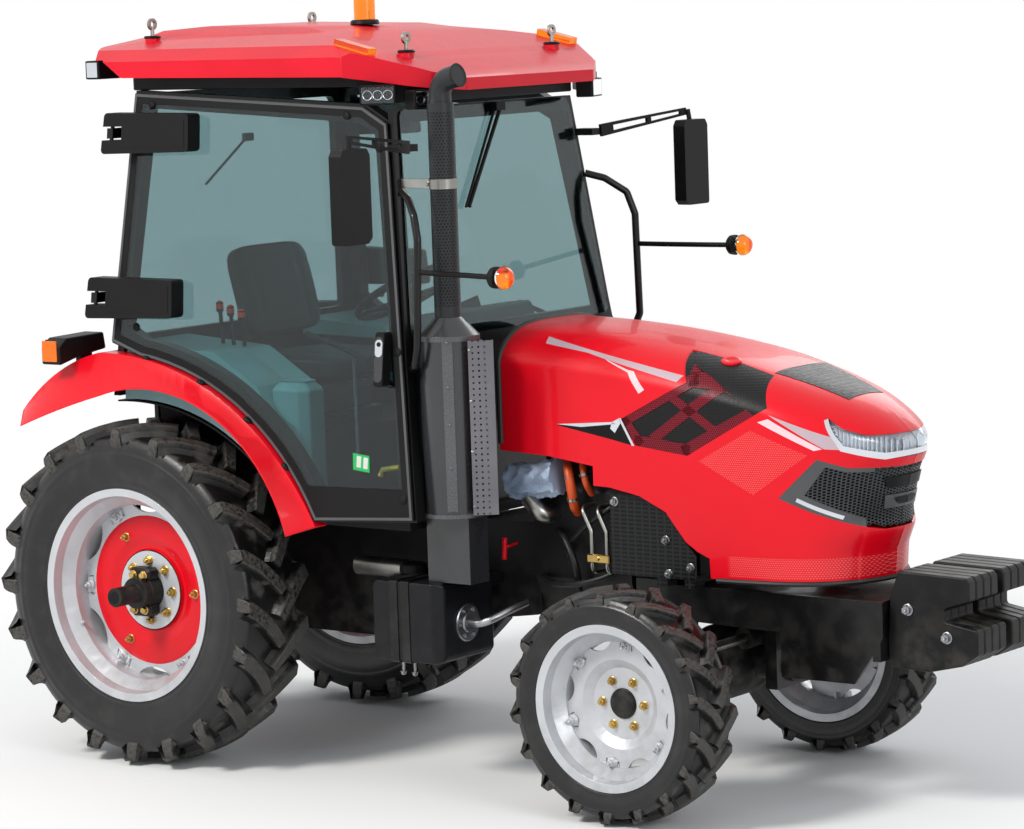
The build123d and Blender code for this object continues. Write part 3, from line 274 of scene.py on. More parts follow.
def finish(name, shade_a, shade_b, metal=0.0, coat=0.0, shine=0.5, **aging):
    """Opaque aged material; metal, coat and shine (specular level) go straight on the shader."""
    mat, tree, body = new_material(name)
    body.inputs["Metallic"].default_value = metal
    body.inputs["Specular IOR Level"].default_value = shine
    body.inputs["Coat Weight"].default_value = coat
    body.inputs["Coat Roughness"].default_value = 0.06
    weathered(tree, body, shade_a, shade_b, **aging)
    return mat


def dress(material, *names):
    """Give CAD nodes a material of their own."""
    for name in names:
        for slot in nodes[name].material_slots:
            slot.material = material


CASTING = finish("black_casting", srgb(13, 13, 14), srgb(21, 21, 22), shine=0.22, dust=0.42, gloss=0.42,
                 grain=420, relief=0.28)
ENAMEL = finish("black_enamel", srgb(8, 8, 9), srgb(14, 14, 15), coat=0.12, shine=0.25, dust=0.2, gloss=0.3,
                grain=160, relief=0.05)
STEEL = finish("bare_steel", srgb(176, 176, 172), srgb(128, 126, 120), metal=1.0, dust=0.25, gloss=0.3,
               grain=500, relief=0.08)
ZINC = finish("zinc_bolts", srgb(168, 170, 174), srgb(120, 121, 124), metal=1.0, dust=0.3, gloss=0.28,
              grain=700, relief=0.1)
dress(CASTING, "transmission_case", "engine_block", "front_axle_beam", "knuckle_right", "knuckle_left",
      "lift_arms", "lower_links", "lift_rods", "hitch_frame", "front_weights")
dress(ENAMEL, "front_frame", "left_step", "side_guards", "seat_base")
dress(STEEL, "steering_rod", "pto_shaft", "engine_pipes")

# ---------------------------------------------------------------- tyres
# Tractor tyres with deep bars that point forwards over the top of the wheel: moulded black rubber,
# glossy on the sidewalls, brown dust in the tread and on the worn bar tops. They replace the CAD tyres.


def catmull(points, count):
    """Smooth line through points: each stretch is the cubic that leaves and meets its ends along
    the neighbours' chords; count points in each stretch."""
    p = np.asarray(points, float)
    p = np.vstack([2 * p[0] - p[1], p, 2 * p[-1] - p[-2]])
    t = np.linspace(0, 1, count, endpoint=False)[:, None]
    out = []
    for a, b, c, d in zip(p[:-3], p[1:-2], p[2:-1], p[3:]):
        out.append(0.5 * (2 * b + (c - a) * t + (2 * a - 5 * b + 4 * c - d) * t ** 2
                          + (3 * b - a - 3 * c + d) * t ** 3))
    return np.vstack(out + [p[-2:-1]])


def grid_faces(rows, cols, wrap_rows=False, wrap_cols=False):
    """Corner numbers of a grid's four-cornered faces; a wrapped side joins its last line to its first."""
    i, k = np.meshgrid(np.arange(rows if wrap_rows else rows - 1), np.arange(cols if wrap_cols else cols - 1),
                       indexing="ij")
    i2, k2 = (i + 1) % rows, (k + 1) % cols
    return np.stack([i * cols + k, i2 * cols + k, i2 * cols + k2, i * cols + k2], -1).reshape(-1, 4)


def merged(parts):
    """One part from several: vertices stacked, faces kept apart by their corner counts."""
    verts, sets, start = [], {}, 0
    for points, face_sets in parts:
        verts.append(points)
        for faces in face_sets:
            if len(faces):
                sets.setdefault(np.shape(faces)[1], []).append(np.asarray(faces) + start)
        start += len(points)
    return np.vstack(verts), [np.vstack(s) for s in sets.values()]


def spun(profile, steps):
    """Ring from a profile of (side, radius) turned about the side axis; columns are (side, forward, up)."""
    angle = np.linspace(0, 2 * np.pi, steps, endpoint=False)[:, None]
    side, radius = np.asarray(profile).T
    ring = np.stack([np.broadcast_to(side, (steps, len(side))), radius * np.sin(angle),
                     radius * np.cos(angle)], -1)
    return ring.reshape(-1, 3), [grid_faces(steps, len(side), wrap_rows=True)]


def bar_part(size, turn, hand):
    """One tread bar from the middle to the shoulder, hand -1 or 1. Along the bar the top point keeps
    the tread's radius and then rounds over the shoulder; across it the flanks slope and the edges
    are bevelled. Point = foot + height * (top - foot), moved sideways across the bar's run."""
    radius, half, tall, width = size["radius"], size["half"], size["bar"], size["bar_width"]
    t = np.linspace(-0.05, 1.0, 14)
    crown = radius - 0.028 * radius * t ** 2
    top = np.stack([t * half * 0.945, crown], -1)
    foot = np.stack([t * half * 0.88, crown - tall - 0.012 * radius], -1)
    over = np.array([[0.975, 0.966], [0.998, 0.945], [0.999, 0.915], [0.985, 0.878], [0.93, 0.85]])
    top = np.vstack([top, over * [half, radius]])
    foot = np.vstack([foot, np.array([[0.84, 0.905]] * 4 + [[0.86, 0.86]]) * [half, radius]])
    run = -1.12 * np.minimum(t, 1) * half + 0.26 * half * np.clip(t, 0, 1) ** 2
    run = np.concatenate([run, run[-1] - np.array([4, 7, 9, 11, 12]) * 0.001])
    slope = np.gradient(run, np.concatenate([t * half * 0.945,
                                             half * np.array([0.98, 1.0, 1.03, 1.06, 1.09])]))
    across = np.stack([-slope, np.ones_like(slope)], -1) / np.hypot(slope, 1)[:, None]
    swell = np.interp(np.linspace(0, 1, len(run)), [0, 0.12, 0.75, 1], [0.86, 1.0, 1.22, 1.34]) * width / 2
    offset = np.array([-1.75, -1.2, -1.05, -0.9, 0.9, 1.05, 1.2, 1.75])
    height = np.array([-0.05, 0.55, 0.93, 1.0, 1.0, 0.93, 0.55, -0.05])
    point = foot[:, None] + height[None, :, None] * (top - foot)[:, None]
    w = offset[None] * swell[:, None]
    side = point[..., 0] + across[:, None, 0] * w * np.where(np.arange(len(run)) < 14, 1, 0)[:, None]
    angle = (run[:, None] + across[:, None, 1] * w) / (radius * 0.97) + turn
    r = point[..., 1]
    verts = np.stack([hand * side, r * np.sin(angle), r * np.cos(angle)], -1)
    rows, cols = r.shape
    ends = [np.arange(cols)[None], (np.arange(cols) + (rows - 1) * cols)[None, ::-1]]
    wear = np.broadcast_to(np.clip((height - 0.85) / 0.1, 0, 1), (rows, cols))
    return (verts.reshape(-1, 3), [grid_faces(rows, cols)] + ends), wear.ravel()


def tyre(name, body, size, material, replaced):
    """Tyre with its beads, ribbed sidewalls and two staggered rows of bars."""
    half, radius, bead, foot = size["half"], size["radius"], size["bead"], size["foot"]
    rise = radius - bead
    wall = [(foot - 0.016, bead - 0.018), (foot, bead - 0.012), (foot + 0.004, bead + 0.002),
            (foot + 0.0105, bead + 0.01), (foot + 0.010, bead + 0.03 * rise + 0.01),
            (half * 0.955, bead + 0.2 * rise), (half * 0.995, bead + 0.36 * rise),
            (half * 0.993, bead + 0.48 * rise), (half * 0.965, bead + 0.6 * rise),
            (half * 0.92, bead + 0.7 * rise), (half * 0.84, bead + 0.775 * rise)]
    tread = radius - size["bar"]
    wall += [(half * 0.7, tread - 0.012 * radius), (half * 0.35, tread - 0.003 * radius), (0.0, tread)]
    line = catmull(wall, 7)
    for at, tall, thick in ((0.10, 0.0022, 0.004), (0.135, 0.0016, 0.003), (0.52, 0.0018, 0.004),
                            (0.555, 0.0018, 0.004)):
        line[:, 0] += tall * np.exp(-((line[:, 1] - bead - at * rise) / thick) ** 2)
    line[:, 0] = np.minimum(line[:, 0], half * 0.999)
    whole = np.vstack([line, (line * [-1, 1])[-2::-1]])
    parts, wear = [spun(whole, 144)], [np.zeros(144 * len(whole))]
    for k in range(size["bars"]):
        for hand in (-1, 1):
            part, worn = bar_part(size, (k + (0.25 if hand > 0 else -0.25)) * 2 * np.pi / size["bars"], hand)
            parts.append(part)
            wear.append(worn)
    verts, faces = merged(parts)
    x, y, z = size["centre"]
    mesh = mesh_of(name, np.stack([verts[:, 1] + x, verts[:, 0] + y, verts[:, 2] + z], -1), faces)
    smooth = np.zeros(len(mesh.polygons), bool)
    smooth[:144 * (len(whole) - 1)] = True
    mesh.polygons.foreach_set("use_smooth", smooth)
    mesh.attributes.new("wear", "FLOAT", "POINT").data.foreach_set("value",
                                                                   np.concatenate(wear).astype(np.float32))
    radial = np.hypot(verts[:, 1], verts[:, 2]) / radius
    mesh.attributes.new("radial", "FLOAT", "POINT").data.foreach_set("value", radial.astype(np.float32))
    obj = add_object(mesh, material)
    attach(obj, body)
    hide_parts(replaced)
    return obj


def rubber():
    """Black rubber: dust lies on worn bar tops and between the bars, the sidewall stays glossy."""
    mat, tree, body = new_material("tyre_rubber")
    place = add_node(tree, "TexCoord").outputs["Object"]
    wear = add_node(tree, "Attribute", attribute_name="wear").outputs["Fac"]
    radial = add_node(tree, "Attribute", attribute_name="radial").outputs["Fac"]
    patch = add_node(tree, "TexNoise", {"Vector": place, "Scale": 14.0, "Detail": 7.0}).outputs[0]
    speck = add_node(tree, "TexNoise", {"Vector": place, "Scale": 90.0, "Detail": 5.0}).outputs[0]
    tread = ramp(tree, radial, 0.88, 0.93)
    worn = calc(tree, "MULTIPLY", wear, ramp(tree, speck, 0.3, 0.62))
    soil = calc(tree, "MULTIPLY", tread, ramp(tree, patch, 0.5, 0.66))
    soil = calc(tree, "MAXIMUM", calc(tree, "MULTIPLY", worn, 0.62), calc(tree, "MULTIPLY", soil, 0.55))
    film = calc(tree, "MULTIPLY", ramp(tree, patch, 0.45, 0.75), 0.12)
    colour = mix_colour(tree, calc(tree, "MAXIMUM", soil, film), srgb(12, 12, 13), srgb(84, 81, 76))
    rough = calc(tree, "MULTIPLY_ADD", soil, 0.6, calc(tree, "MULTIPLY_ADD", speck, 0.15, 0.27))
    bump = add_node(tree, "Bump", {"Height": speck, "Strength": 0.18, "Distance": 0.003})
    tree.links.new(colour, body.inputs["Base Color"])
    tree.links.new(rough, body.inputs["Roughness"])
    tree.links.new(bump.outputs[0], body.inputs["Normal"])
    return mat


RUBBER = rubber()
for tag, hand in (("right", -1), ("left", 1)):
    low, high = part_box("rear_tyre_" + tag)
    size = {"centre": (REAR_X, (low[1] + high[1]) / 2, REAR_Z), "radius": (high[2] - low[2]) / 2,
            "half": (high[1] - low[1]) / 2, "bead": 0.374, "foot": 0.133, "bar": 0.040, "bar_width": 0.040,
            "bars": 20}
    tyre("rear_tread_" + tag, "rear_wheel_" + tag, size, RUBBER, "rear_tyre_" + tag)
    low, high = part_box("front_tyre_" + tag)
    size = {"centre": (FRONT_X, (low[1] + high[1]) / 2, FRONT_Z), "radius": (high[2] - low[2]) / 2,
            "half": (high[1] - low[1]) / 2, "bead": 0.268, "foot": 0.088, "bar": 0.028, "bar_width": 0.029,
            "bars": 18}
    tyre("front_tread_" + tag, "front_wheel_" + tag, size, RUBBER, "front_tyre_" + tag)

# ---------------------------------------------------------------- cab shell, hood and other finishes
# Finishes of the remaining nodes: red enamel under clear coat, matt black mouldings, pale teal cab
# trim, tinted safety glass, clear and amber lenses, silver wheel enamel.


def clear_part(name, tint, ior=1.45, rough=0.02, coat=0.0):
    """See-through material that lets shadow rays pass with its tint, so that the inside is lit."""
    mat, tree, body = new_material(name)
    body.inputs["Base Color"].default_value = tint
    body.inputs["Transmission Weight"].default_value = 1.0
    body.inputs["IOR"].default_value = ior
    body.inputs["Roughness"].default_value = rough
    body.inputs["Coat Weight"].default_value = coat
    rays = add_node(tree, "LightPath")
    through = add_node(tree, "BsdfTransparent", {"Color": tint})
    both = add_node(tree, "MixShader", {0: rays.outputs["Is Shadow Ray"], 1: body.outputs[0],
                                        2: through.outputs[0]})
    tree.links.new(both.outputs[0], tree.nodes["Material Output"].inputs[0])
    return mat


def round_holes(tree, along, up, pitch, radius):
    """Mask of staggered round holes: 1 within the radius of the nearer centre of two square-cornered
    lattices, pitch by pitch * sqrt(3), one shifted by half a cell each way."""
    tall = pitch * math.sqrt(3)
    nearest = None
    for shift in (0.0, 0.5):
        gaps = []
        for value, step in ((along, pitch), (up, tall)):
            turn = calc(tree, "FRACT", calc(tree, "ADD", calc(tree, "DIVIDE", value, step), shift))
            gap = calc(tree, "MULTIPLY", calc(tree, "SUBTRACT", turn, 0.5), step)
            gaps.append(calc(tree, "MULTIPLY", gap, gap))
        far = calc(tree, "SQRT", calc(tree, "ADD", *gaps))
        nearest = far if nearest is None else calc(tree, "MINIMUM", nearest, far)
    return calc(tree, "SUBTRACT", 1.0, ramp(tree, nearest, radius * 0.85, radius * 1.1))


RED = finish("red_paint", srgb(216, 2, 26), srgb(204, 2, 22), coat=0.22, shine=0.2, dust=0.08, height=0.6,
             gloss=0.36, grain=90, relief=0.015)
MOULDED_RED = finish("red_moulding", srgb(206, 4, 34), srgb(196, 3, 30), coat=0.2, shine=0.2, dust=0.06,
                     height=0.5, gloss=0.4, grain=140, relief=0.03)
PLASTIC = finish("black_plastic", srgb(10, 10, 11), srgb(16, 16, 17), shine=0.18, dust=0.12, height=0.6,
                 gloss=0.45, grain=900, relief=0.16)
GREY = finish("grey_plastic", srgb(70, 74, 78), srgb(60, 64, 68), dust=0.1, gloss=0.5, grain=900, relief=0.2)
TEAL = finish("teal_plastic", srgb(128, 168, 170), srgb(116, 156, 160), dust=0.1, gloss=0.48, grain=700,
              relief=0.16)
TANK = finish("tank_plastic", srgb(7, 8, 12), srgb(12, 13, 18), shine=0.25, dust=0.08, gloss=0.36,
              grain=220, relief=0.1)
SILVER = finish("silver_paint", srgb(196, 198, 202), srgb(182, 184, 188), metal=0.35, coat=0.3, dust=0.22,
                height=0.75, gloss=0.34, grain=260, relief=0.06)
VINYL = finish("seat_vinyl", srgb(22, 22, 24), srgb(30, 30, 33), dust=0.15, gloss=0.52, grain=650, relief=0.3)
GLASS = clear_part("tinted_glass", srgb(168, 190, 192))
AMBER = clear_part("amber_lens", srgb(255, 138, 20), rough=0.12)
CRYSTAL = clear_part("lamp_lens", srgb(240, 244, 248), rough=0.04)
dress(RED, "hood_panel", "rear_fenders", "rear_disc_right", "rear_disc_left")
dress(MOULDED_RED, "roof_shell")
dress(PLASTIC, "roof_liner", "hood_grilles", "wipers", "mirrors", "work_lamps", "door_fittings_right",
      "door_fittings_left", "control_levers", "steering_wheel", "cab_floor", "rear_lamps")
dress(ENAMEL, "cab_frame", "handrails", "heat_shield", "muffler", "exhaust_stack")
dress(CASTING, "rear_hub_right", "rear_hub_left")
dress(GREY, "dashboard")
dress(TEAL, "cab_consoles")
dress(TANK, "fuel_tank")
dress(SILVER, "rear_rim_right", "rear_rim_left", "front_rim_right", "front_rim_left")
dress(STEEL, "lifting_eyes")
dress(VINYL, "seat_cushions")
dress(GLASS, "cab_glass", "door_glass_right", "door_glass_left")
dress(AMBER, "roof_beacons", "turn_signals")
dress(CRYSTAL, "headlamps")

# ---------------------------------------------------------------- rounded edges of the large parts
# Castings, sheet metal and mouldings with the small radii that presses, moulds and cutters leave.
# Each copy of a CAD node has its edges rounded to its own size and stands for that node.


def rounded(name, material, width, segments=2, angle=30):
    """Copy of a CAD node: corners welded, flat facets joined, then every edge that turns by more
    than the angle is bevelled to the width."""
    mesh = bpy.data.meshes.new(name + "_soft")
    work = bmesh.new()
    work.from_mesh(nodes[name].data)
    bmesh.ops.remove_doubles(work, verts=work.verts, dist=2e-5)
    bmesh.ops.dissolve_limit(work, angle_limit=math.radians(1.5), verts=work.verts, edges=work.edges)
    work.to_mesh(mesh)
    work.free()
    mesh.polygons.foreach_set("use_smooth", np.ones(len(mesh.polygons), bool))
    mesh.set_sharp_from_angle(angle=math.radians(angle))
    mesh.materials.clear()
    obj = add_object(mesh, material)
    if width:
        bevel = obj.modifiers.new("edges", "BEVEL")
        bevel.width, bevel.segments, bevel.limit_method = width, segments, "ANGLE"
        bevel.angle_limit, bevel.harden_normals = math.radians(angle), True
        bevel.miter_outer = "MITER_ARC"
    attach(obj, body_of[name])
    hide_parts(name)
    return obj


for name, material, width in (
        ("roof_shell", MOULDED_RED, 0.014), ("roof_liner", PLASTIC, 0.006), ("rear_fenders", RED, 0),
        ("muffler", ENAMEL, 0.003), ("exhaust_stack", ENAMEL, 0), ("fuel_tank", TANK, 0.008),
        ("front_weights", CASTING, 0.007), ("cab_consoles", TEAL, 0.016), ("dashboard", GREY, 0.012),
        ("door_fittings_right", PLASTIC, 0.006), ("door_fittings_left", PLASTIC, 0.006),
        ("mirrors", PLASTIC, 0.004), ("front_frame", ENAMEL, 0.0015), ("transmission_case", CASTING, 0.006),
        ("engine_block", CASTING, 0.008), ("rear_lamps", PLASTIC, 0.008), ("work_lamps", PLASTIC, 0.006),
        ("cab_frame", ENAMEL, 0.003), ("left_step", ENAMEL, 0.006), ("seat_base", ENAMEL, 0.004),
        ("rear_hub_right", CASTING, 0.002), ("rear_hub_left", CASTING, 0.002),
        ("rear_rim_right", SILVER, 0.001), ("rear_rim_left", SILVER, 0.001),
        ("front_rim_right", SILVER, 0.001), ("front_rim_left", SILVER, 0.001),
        ("rear_disc_right", RED, 0.001), ("rear_disc_left", RED, 0.001),
        ("front_axle_beam", CASTING, 0.004), ("knuckle_right", CASTING, 0.003),
        ("knuckle_left", CASTING, 0.003), ("lift_arms", CASTING, 0.004), ("lower_links", CASTING, 0.003),
        ("lift_rods", CASTING, 0.002), ("hitch_frame", CASTING, 0.004), ("handrails", ENAMEL, 0),
        ("cab_floor", PLASTIC, 0.002), ("steering_wheel", PLASTIC, 0.001)):
    rounded(name, material, width)

# ---------------------------------------------------------------- wheel fittings
# Pressed and plated parts on the wheels: the dished face of the red disc, hub plates and their brass
# nuts, cast clamp hubs, the silver brackets that bolt disc to rim, a tyre valve and an axle cap.


def mm(x, y, z):
    """Point in metres from millimetres: x ahead of the rear axle, y to the left, z above the ground."""
    return np.array([x * 0.001 + REAR_X, y * 0.001, z * 0.001])


def turn_to(axis, up=(0, 0, 1)):
    """Rotation whose columns carry +Z to the axis and +Y as near to up as it can be."""
    z = np.asarray(axis, float) / np.linalg.norm(axis)
    up = np.asarray(up, float)
    if abs(z @ up) > 0.99:
        up = np.array([1.0, 0.0, 0.0])
    x = np.cross(up, z)
    x /= np.linalg.norm(x)
    return np.stack([x, np.cross(z, x), z], -1)


def moved(part, at, turn=None):
    """The part turned and then carried to a point."""
    verts, faces = part
    return (verts if turn is None else verts @ turn.T) + np.asarray(at, float), faces


def lathe(profile, steps=24):
    """Solid turned about Z from a profile of (radius, height) that starts and ends near the axis."""
    profile = np.maximum(np.asarray(profile, float), [1e-6, -9])
    angle = np.linspace(0, 2 * np.pi, steps, endpoint=False)[:, None]
    r, h = profile.T
    verts = np.stack([r * np.cos(angle), r * np.sin(angle), np.broadcast_to(h, (steps, len(h)))], -1)
    return verts.reshape(-1, 3), [grid_faces(steps, len(h), wrap_rows=True)]


def extruded(outline, low, high):
    """Prism over an outline in the XY plane from z = low to z = high."""
    ring = np.asarray(outline, float)
    n = len(ring)
    verts = np.vstack([np.c_[ring, np.full(n, low)], np.c_[ring, np.full(n, high)]])
    i = np.arange(n)
    walls = np.stack([i, (i + 1) % n, (i + 1) % n + n, i + n], -1)
    return verts, [walls, i[None, ::-1], (i + n)[None]]


def chamfered(x, y, z, cut=0.15):
    """Box about the origin with all its edges cut back by a share of its least side."""
    c = min(x, y, z) * cut
    ring = np.array([[x / 2 - c, y / 2], [-x / 2 + c, y / 2], [-x / 2, y / 2 - c], [-x / 2, -y / 2 + c],
                     [-x / 2 + c, -y / 2], [x / 2 - c, -y / 2], [x / 2, -y / 2 + c], [x / 2, y / 2 - c]])
    small = ring * [1 - 2 * c / x, 1 - 2 * c / y]
    layers = [(small, -z / 2), (ring, -z / 2 + c), (ring, z / 2 - c), (small, z / 2)]
    verts = np.vstack([np.c_[r, np.full(8, h)] for r, h in layers])
    return verts, [grid_faces(4, 8, wrap_cols=True), np.arange(8)[None, ::-1], np.arange(24, 32)[None]]


def hex_bolt(across, tall, stud=0.0):
    """Hexagon head or nut on +Z with a chamfered top, its washer, and a stud end that stands proud."""
    flat = across / 2
    angle = np.radians(60 * np.arange(6) + 30)
    ring = np.stack([np.cos(angle), np.sin(angle)], -1) * flat / math.cos(math.pi / 6)
    start = 0.25 * tall
    verts = np.vstack([np.c_[ring, np.full(6, start)], np.c_[ring, np.full(6, start + 0.82 * tall)],
                       np.c_[ring * 0.86, np.full(6, start + tall)]])
    parts = [(verts, [grid_faces(3, 6, wrap_cols=True), np.arange(12, 18)[None]]),
             lathe([(0, 0), (flat * 1.5, 0), (flat * 1.5, start * 0.7), (flat * 1.35, start), (0, start)])]
    if stud:
        top = start + tall
        parts.append(lathe([(flat * 0.55, top), (flat * 0.55, top + stud * 0.8), (flat * 0.4, top + stud),
                            (0, top + stud)], 12))
    return merged(parts)


def swept(path, radius, sides=12):
    """Tube of one or several radii along a dense path; the ring is carried along without twisting."""
    path = np.asarray(path, float)
    run = np.gradient(path, axis=0)
    run /= np.linalg.norm(run, axis=1)[:, None]
    radius = np.broadcast_to(radius, len(path))
    side = turn_to(run[0])[:, 0]
    angle = np.linspace(0, 2 * np.pi, sides, endpoint=False)
    rings = []
    for point, ahead, r in zip(path, run, radius):
        side = side - (side @ ahead) * ahead
        side /= np.linalg.norm(side)
        up = np.cross(ahead, side)
        rings.append(point + r * (np.cos(angle)[:, None] * side + np.sin(angle)[:, None] * up))
    faces = [grid_faces(len(path), sides, wrap_cols=True), np.arange(sides)[None, ::-1],
             (np.arange(sides) + (len(path) - 1) * sides)[None]]
    return np.vstack(rings), faces


def piece(name, parts, material, body, smooth=30, bevel=0.0, replaced=()):
    """Join parts into one object that rides on a body; edges sharper than smooth degrees stay sharp."""
    verts, faces = merged(parts)
    mesh = mesh_of(name, verts, faces, smooth=True)
    mesh.set_sharp_from_angle(angle=math.radians(smooth))
    obj = add_object(mesh, material)
    if bevel:
        edges = obj.modifiers.new("edges", "BEVEL")
        edges.width, edges.segments, edges.limit_method, edges.harden_normals = bevel, 2, "ANGLE", True
    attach(obj, body)
    if replaced:
        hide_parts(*replaced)
    return obj


def around(part, centre, side, count, radius, out, first=0.0):
    """Copies of a part set round a wheel: its +Z points outboard and its +Y away from the axle."""
    copies = []
    for k in range(count):
        a = math.radians(first + 360 * k / count)
        radial = np.array([math.cos(a), 0, math.sin(a)])
        at = np.asarray(centre) + radial * radius + np.array([0, side * out, 0])
        copies.append(moved(part, at, turn_to((0, side, 0), radial)))
    return copies


BRASS = finish("brass_nuts", srgb(206, 176, 108), srgb(168, 140, 84), metal=1.0, dust=0.2, gloss=0.26,
               grain=500, relief=0.1)
SATIN = finish("silver_plate", srgb(198, 200, 204), srgb(186, 188, 192), metal=0.3, coat=0.3, dust=0.15,
               height=0.6, gloss=0.32, grain=260, relief=0.05)


def clip(wide, tall, deep):
    """Rim bracket: a folded plate welded to the rim, the disc's ear over it, and the bolt with its nut."""
    fold = extruded([(-wide / 2, 0), (wide / 2, 0), (wide * 0.42, tall), (-wide * 0.42, tall)], -0.007, 0.0)
    lip = moved(chamfered(wide, 0.007, deep), (0, tall, -deep / 2))
    cheek = [moved(chamfered(0.006, tall, deep * 0.8), (hand * wide * 0.45, tall / 2, -deep * 0.4))
             for hand in (-1, 1)]
    bolt = moved(hex_bolt(0.021, 0.011, stud=0.012), (0, tall * 0.42, 0.004))
    boss = moved(lathe([(0, 0), (0.019, 0), (0.016, 0.004), (0, 0.004)]), (0, tall * 0.42, 0))
    return merged([fold, lip, *cheek, bolt, boss])


for tag, side in (("right", -1), ("left", 1)):
    centre = (REAR_X, 0.0, REAR_Z)
    face, shaft_end = 0.631, 0.832
    body = "rear_wheel_" + tag
    ring = lathe([(0.064, 0), (0.141, 0), (0.1405, 0.0015), (0.064, 0.0015)], 64)
    plate = moved(ring, (REAR_X, side * (face + 0.0121), REAR_Z), turn_to((0, side, 0)))
    piece("hub_plate_" + tag, [plate], SATIN, body)
    nuts = around(hex_bolt(0.024, 0.014, stud=0.01), centre, side, 8, 0.107, face + 0.0136, 0)
    nuts += around(hex_bolt(0.022, 0.013, stud=0.012), centre, side, 3, 0.213, face + 0.0128, 0)
    for across in (-0.024, 0.024):
        for up in (-0.062, 0.062):
            at = np.array([REAR_X + across, side * (face + 0.072), REAR_Z + up])
            nuts.append(moved(hex_bolt(0.022, 0.012), at, turn_to((0, side, 0))))
    piece("hub_nuts_" + tag, nuts, BRASS, body)
    dish = lathe([(0.145, 0.0112), (0.149, 0.0), (0.158, -0.0012), (0.168, 0.001), (0.192, 0.0125),
                  (0.2, 0.0138), (0.252, 0.013), (0.264, 0.0122), (0.2675, 0.0108), (0.268, 0.0082),
                  (0.262, 0.008), (0.2, 0.0096), (0.172, -0.003), (0.158, -0.0052), (0.145, -0.004),
                  (0.145, 0.0112)], 96)
    piece("disc_dish_" + tag, [moved(dish, (REAR_X, side * face, REAR_Z), turn_to((0, side, 0)))], RED, body)
    halves = [moved(chamfered(0.096, 0.05, 0.058, 0.2), (REAR_X, side * (face + 0.0425), REAR_Z + up),
                    turn_to((0, side, 0))) for up in (-0.062, 0.062)]
    halves.append(moved(lathe([(0, 0), (0.062, 0), (0.062, 0.05), (0.056, 0.058), (0, 0.058)], 40),
                        (REAR_X, side * (face + 0.013), REAR_Z), turn_to((0, side, 0))))
    collar = lathe([(0.022, -0.04), (0.022, 0.0003), (0.033, 0.0003), (0.0345, -0.002), (0.0345, -0.012)], 40)
    halves.append(moved(collar, (REAR_X, side * 0.8318, REAR_Z), turn_to((0, side, 0))))
    piece("clamp_hub_" + tag, halves, CASTING, body, bevel=0.002)
    dark = lathe([(0, -0.0005), (0.0225, -0.0005), (0.0225, 0.0001), (0, 0.0001)], 32)
    piece("shaft_bore_" + tag, [moved(dark, (REAR_X, side * shaft_end, REAR_Z), turn_to((0, side, 0)))],
          PLASTIC, body)
    clips = around(clip(0.07, 0.03, 0.05), centre, side, 6, 0.279, face + 0.014, 0)
    valve = lathe([(0, 0), (0.009, 0), (0.006, 0.02), (0.004, 0.024), (0.004, 0.036), (0, 0.037)], 12)
    at = np.array([REAR_X - 0.29, side * 0.70, REAR_Z - 0.135])
    clips.append(moved(valve, at, turn_to((0.75, side * 0.55, 0.35))))
    piece("rim_clips_" + tag, clips, SATIN, body, bevel=0.001)
    centre = (FRONT_X, 0.0, FRONT_Z)
    face = 0.642
    body = "front_wheel_" + tag
    nuts = around(hex_bolt(0.021, 0.013, stud=0.008), centre, side, 6, 0.082, face - 0.008 + 0.0003, 0)
    piece("front_nuts_" + tag, nuts, BRASS, body)
    clips = around(clip(0.052, 0.026, 0.04), centre, side, 6, 0.186, face + 0.017, 20 if side < 0 else 40)
    piece("front_clips_" + tag, clips, SATIN, body, bevel=0.001)
    cap = lathe([(0, 0), (0.0485, 0), (0.0485, 0.006), (0.044, 0.011), (0.012, 0.012), (0, 0.012)], 40)
    piece("axle_cap_" + tag, [moved(cap, (FRONT_X, side * 0.6345, FRONT_Z), turn_to((0, side, 0)))], ENAMEL,
          body)

# ---------------------------------------------------------------- hood skin
# One pressed sheet 6 mm thick, red under clear coat, that closes round the nose, with the window, lamp
# and mouth openings cut through it. It is a smooth surface on stations: millimetres ahead of the rear
# axle, height of the hood's edge, height of its spine.
STATIONS = np.array([(1352, 1440, 1569), (1620, 1419, 1555), (1880, 1395, 1529), (2170, 1352, 1481),
                     (2400, 1304, 1420), (2600, 1250, 1352), (2740, 1214, 1288), (2800, 1200, 1244)], float)
PLAN = catmull([(1353, 334), (1620, 334.5), (1880, 334.5), (2170, 332), (2380, 315), (2500, 295),
                (2600, 262), (2695, 201), (2755, 133), (2786, 66), (2796, 0)], 14)  # plan line (x, |y|)


def station(x, column):
    """Smooth value of one station column at x."""
    fine = catmull(STATIONS[:, [0, column]], 16)
    return np.interp(x, fine[:, 0], fine[:, 1])


WALL = 26  # columns of the hood's grid on its side wall, from the skirt up


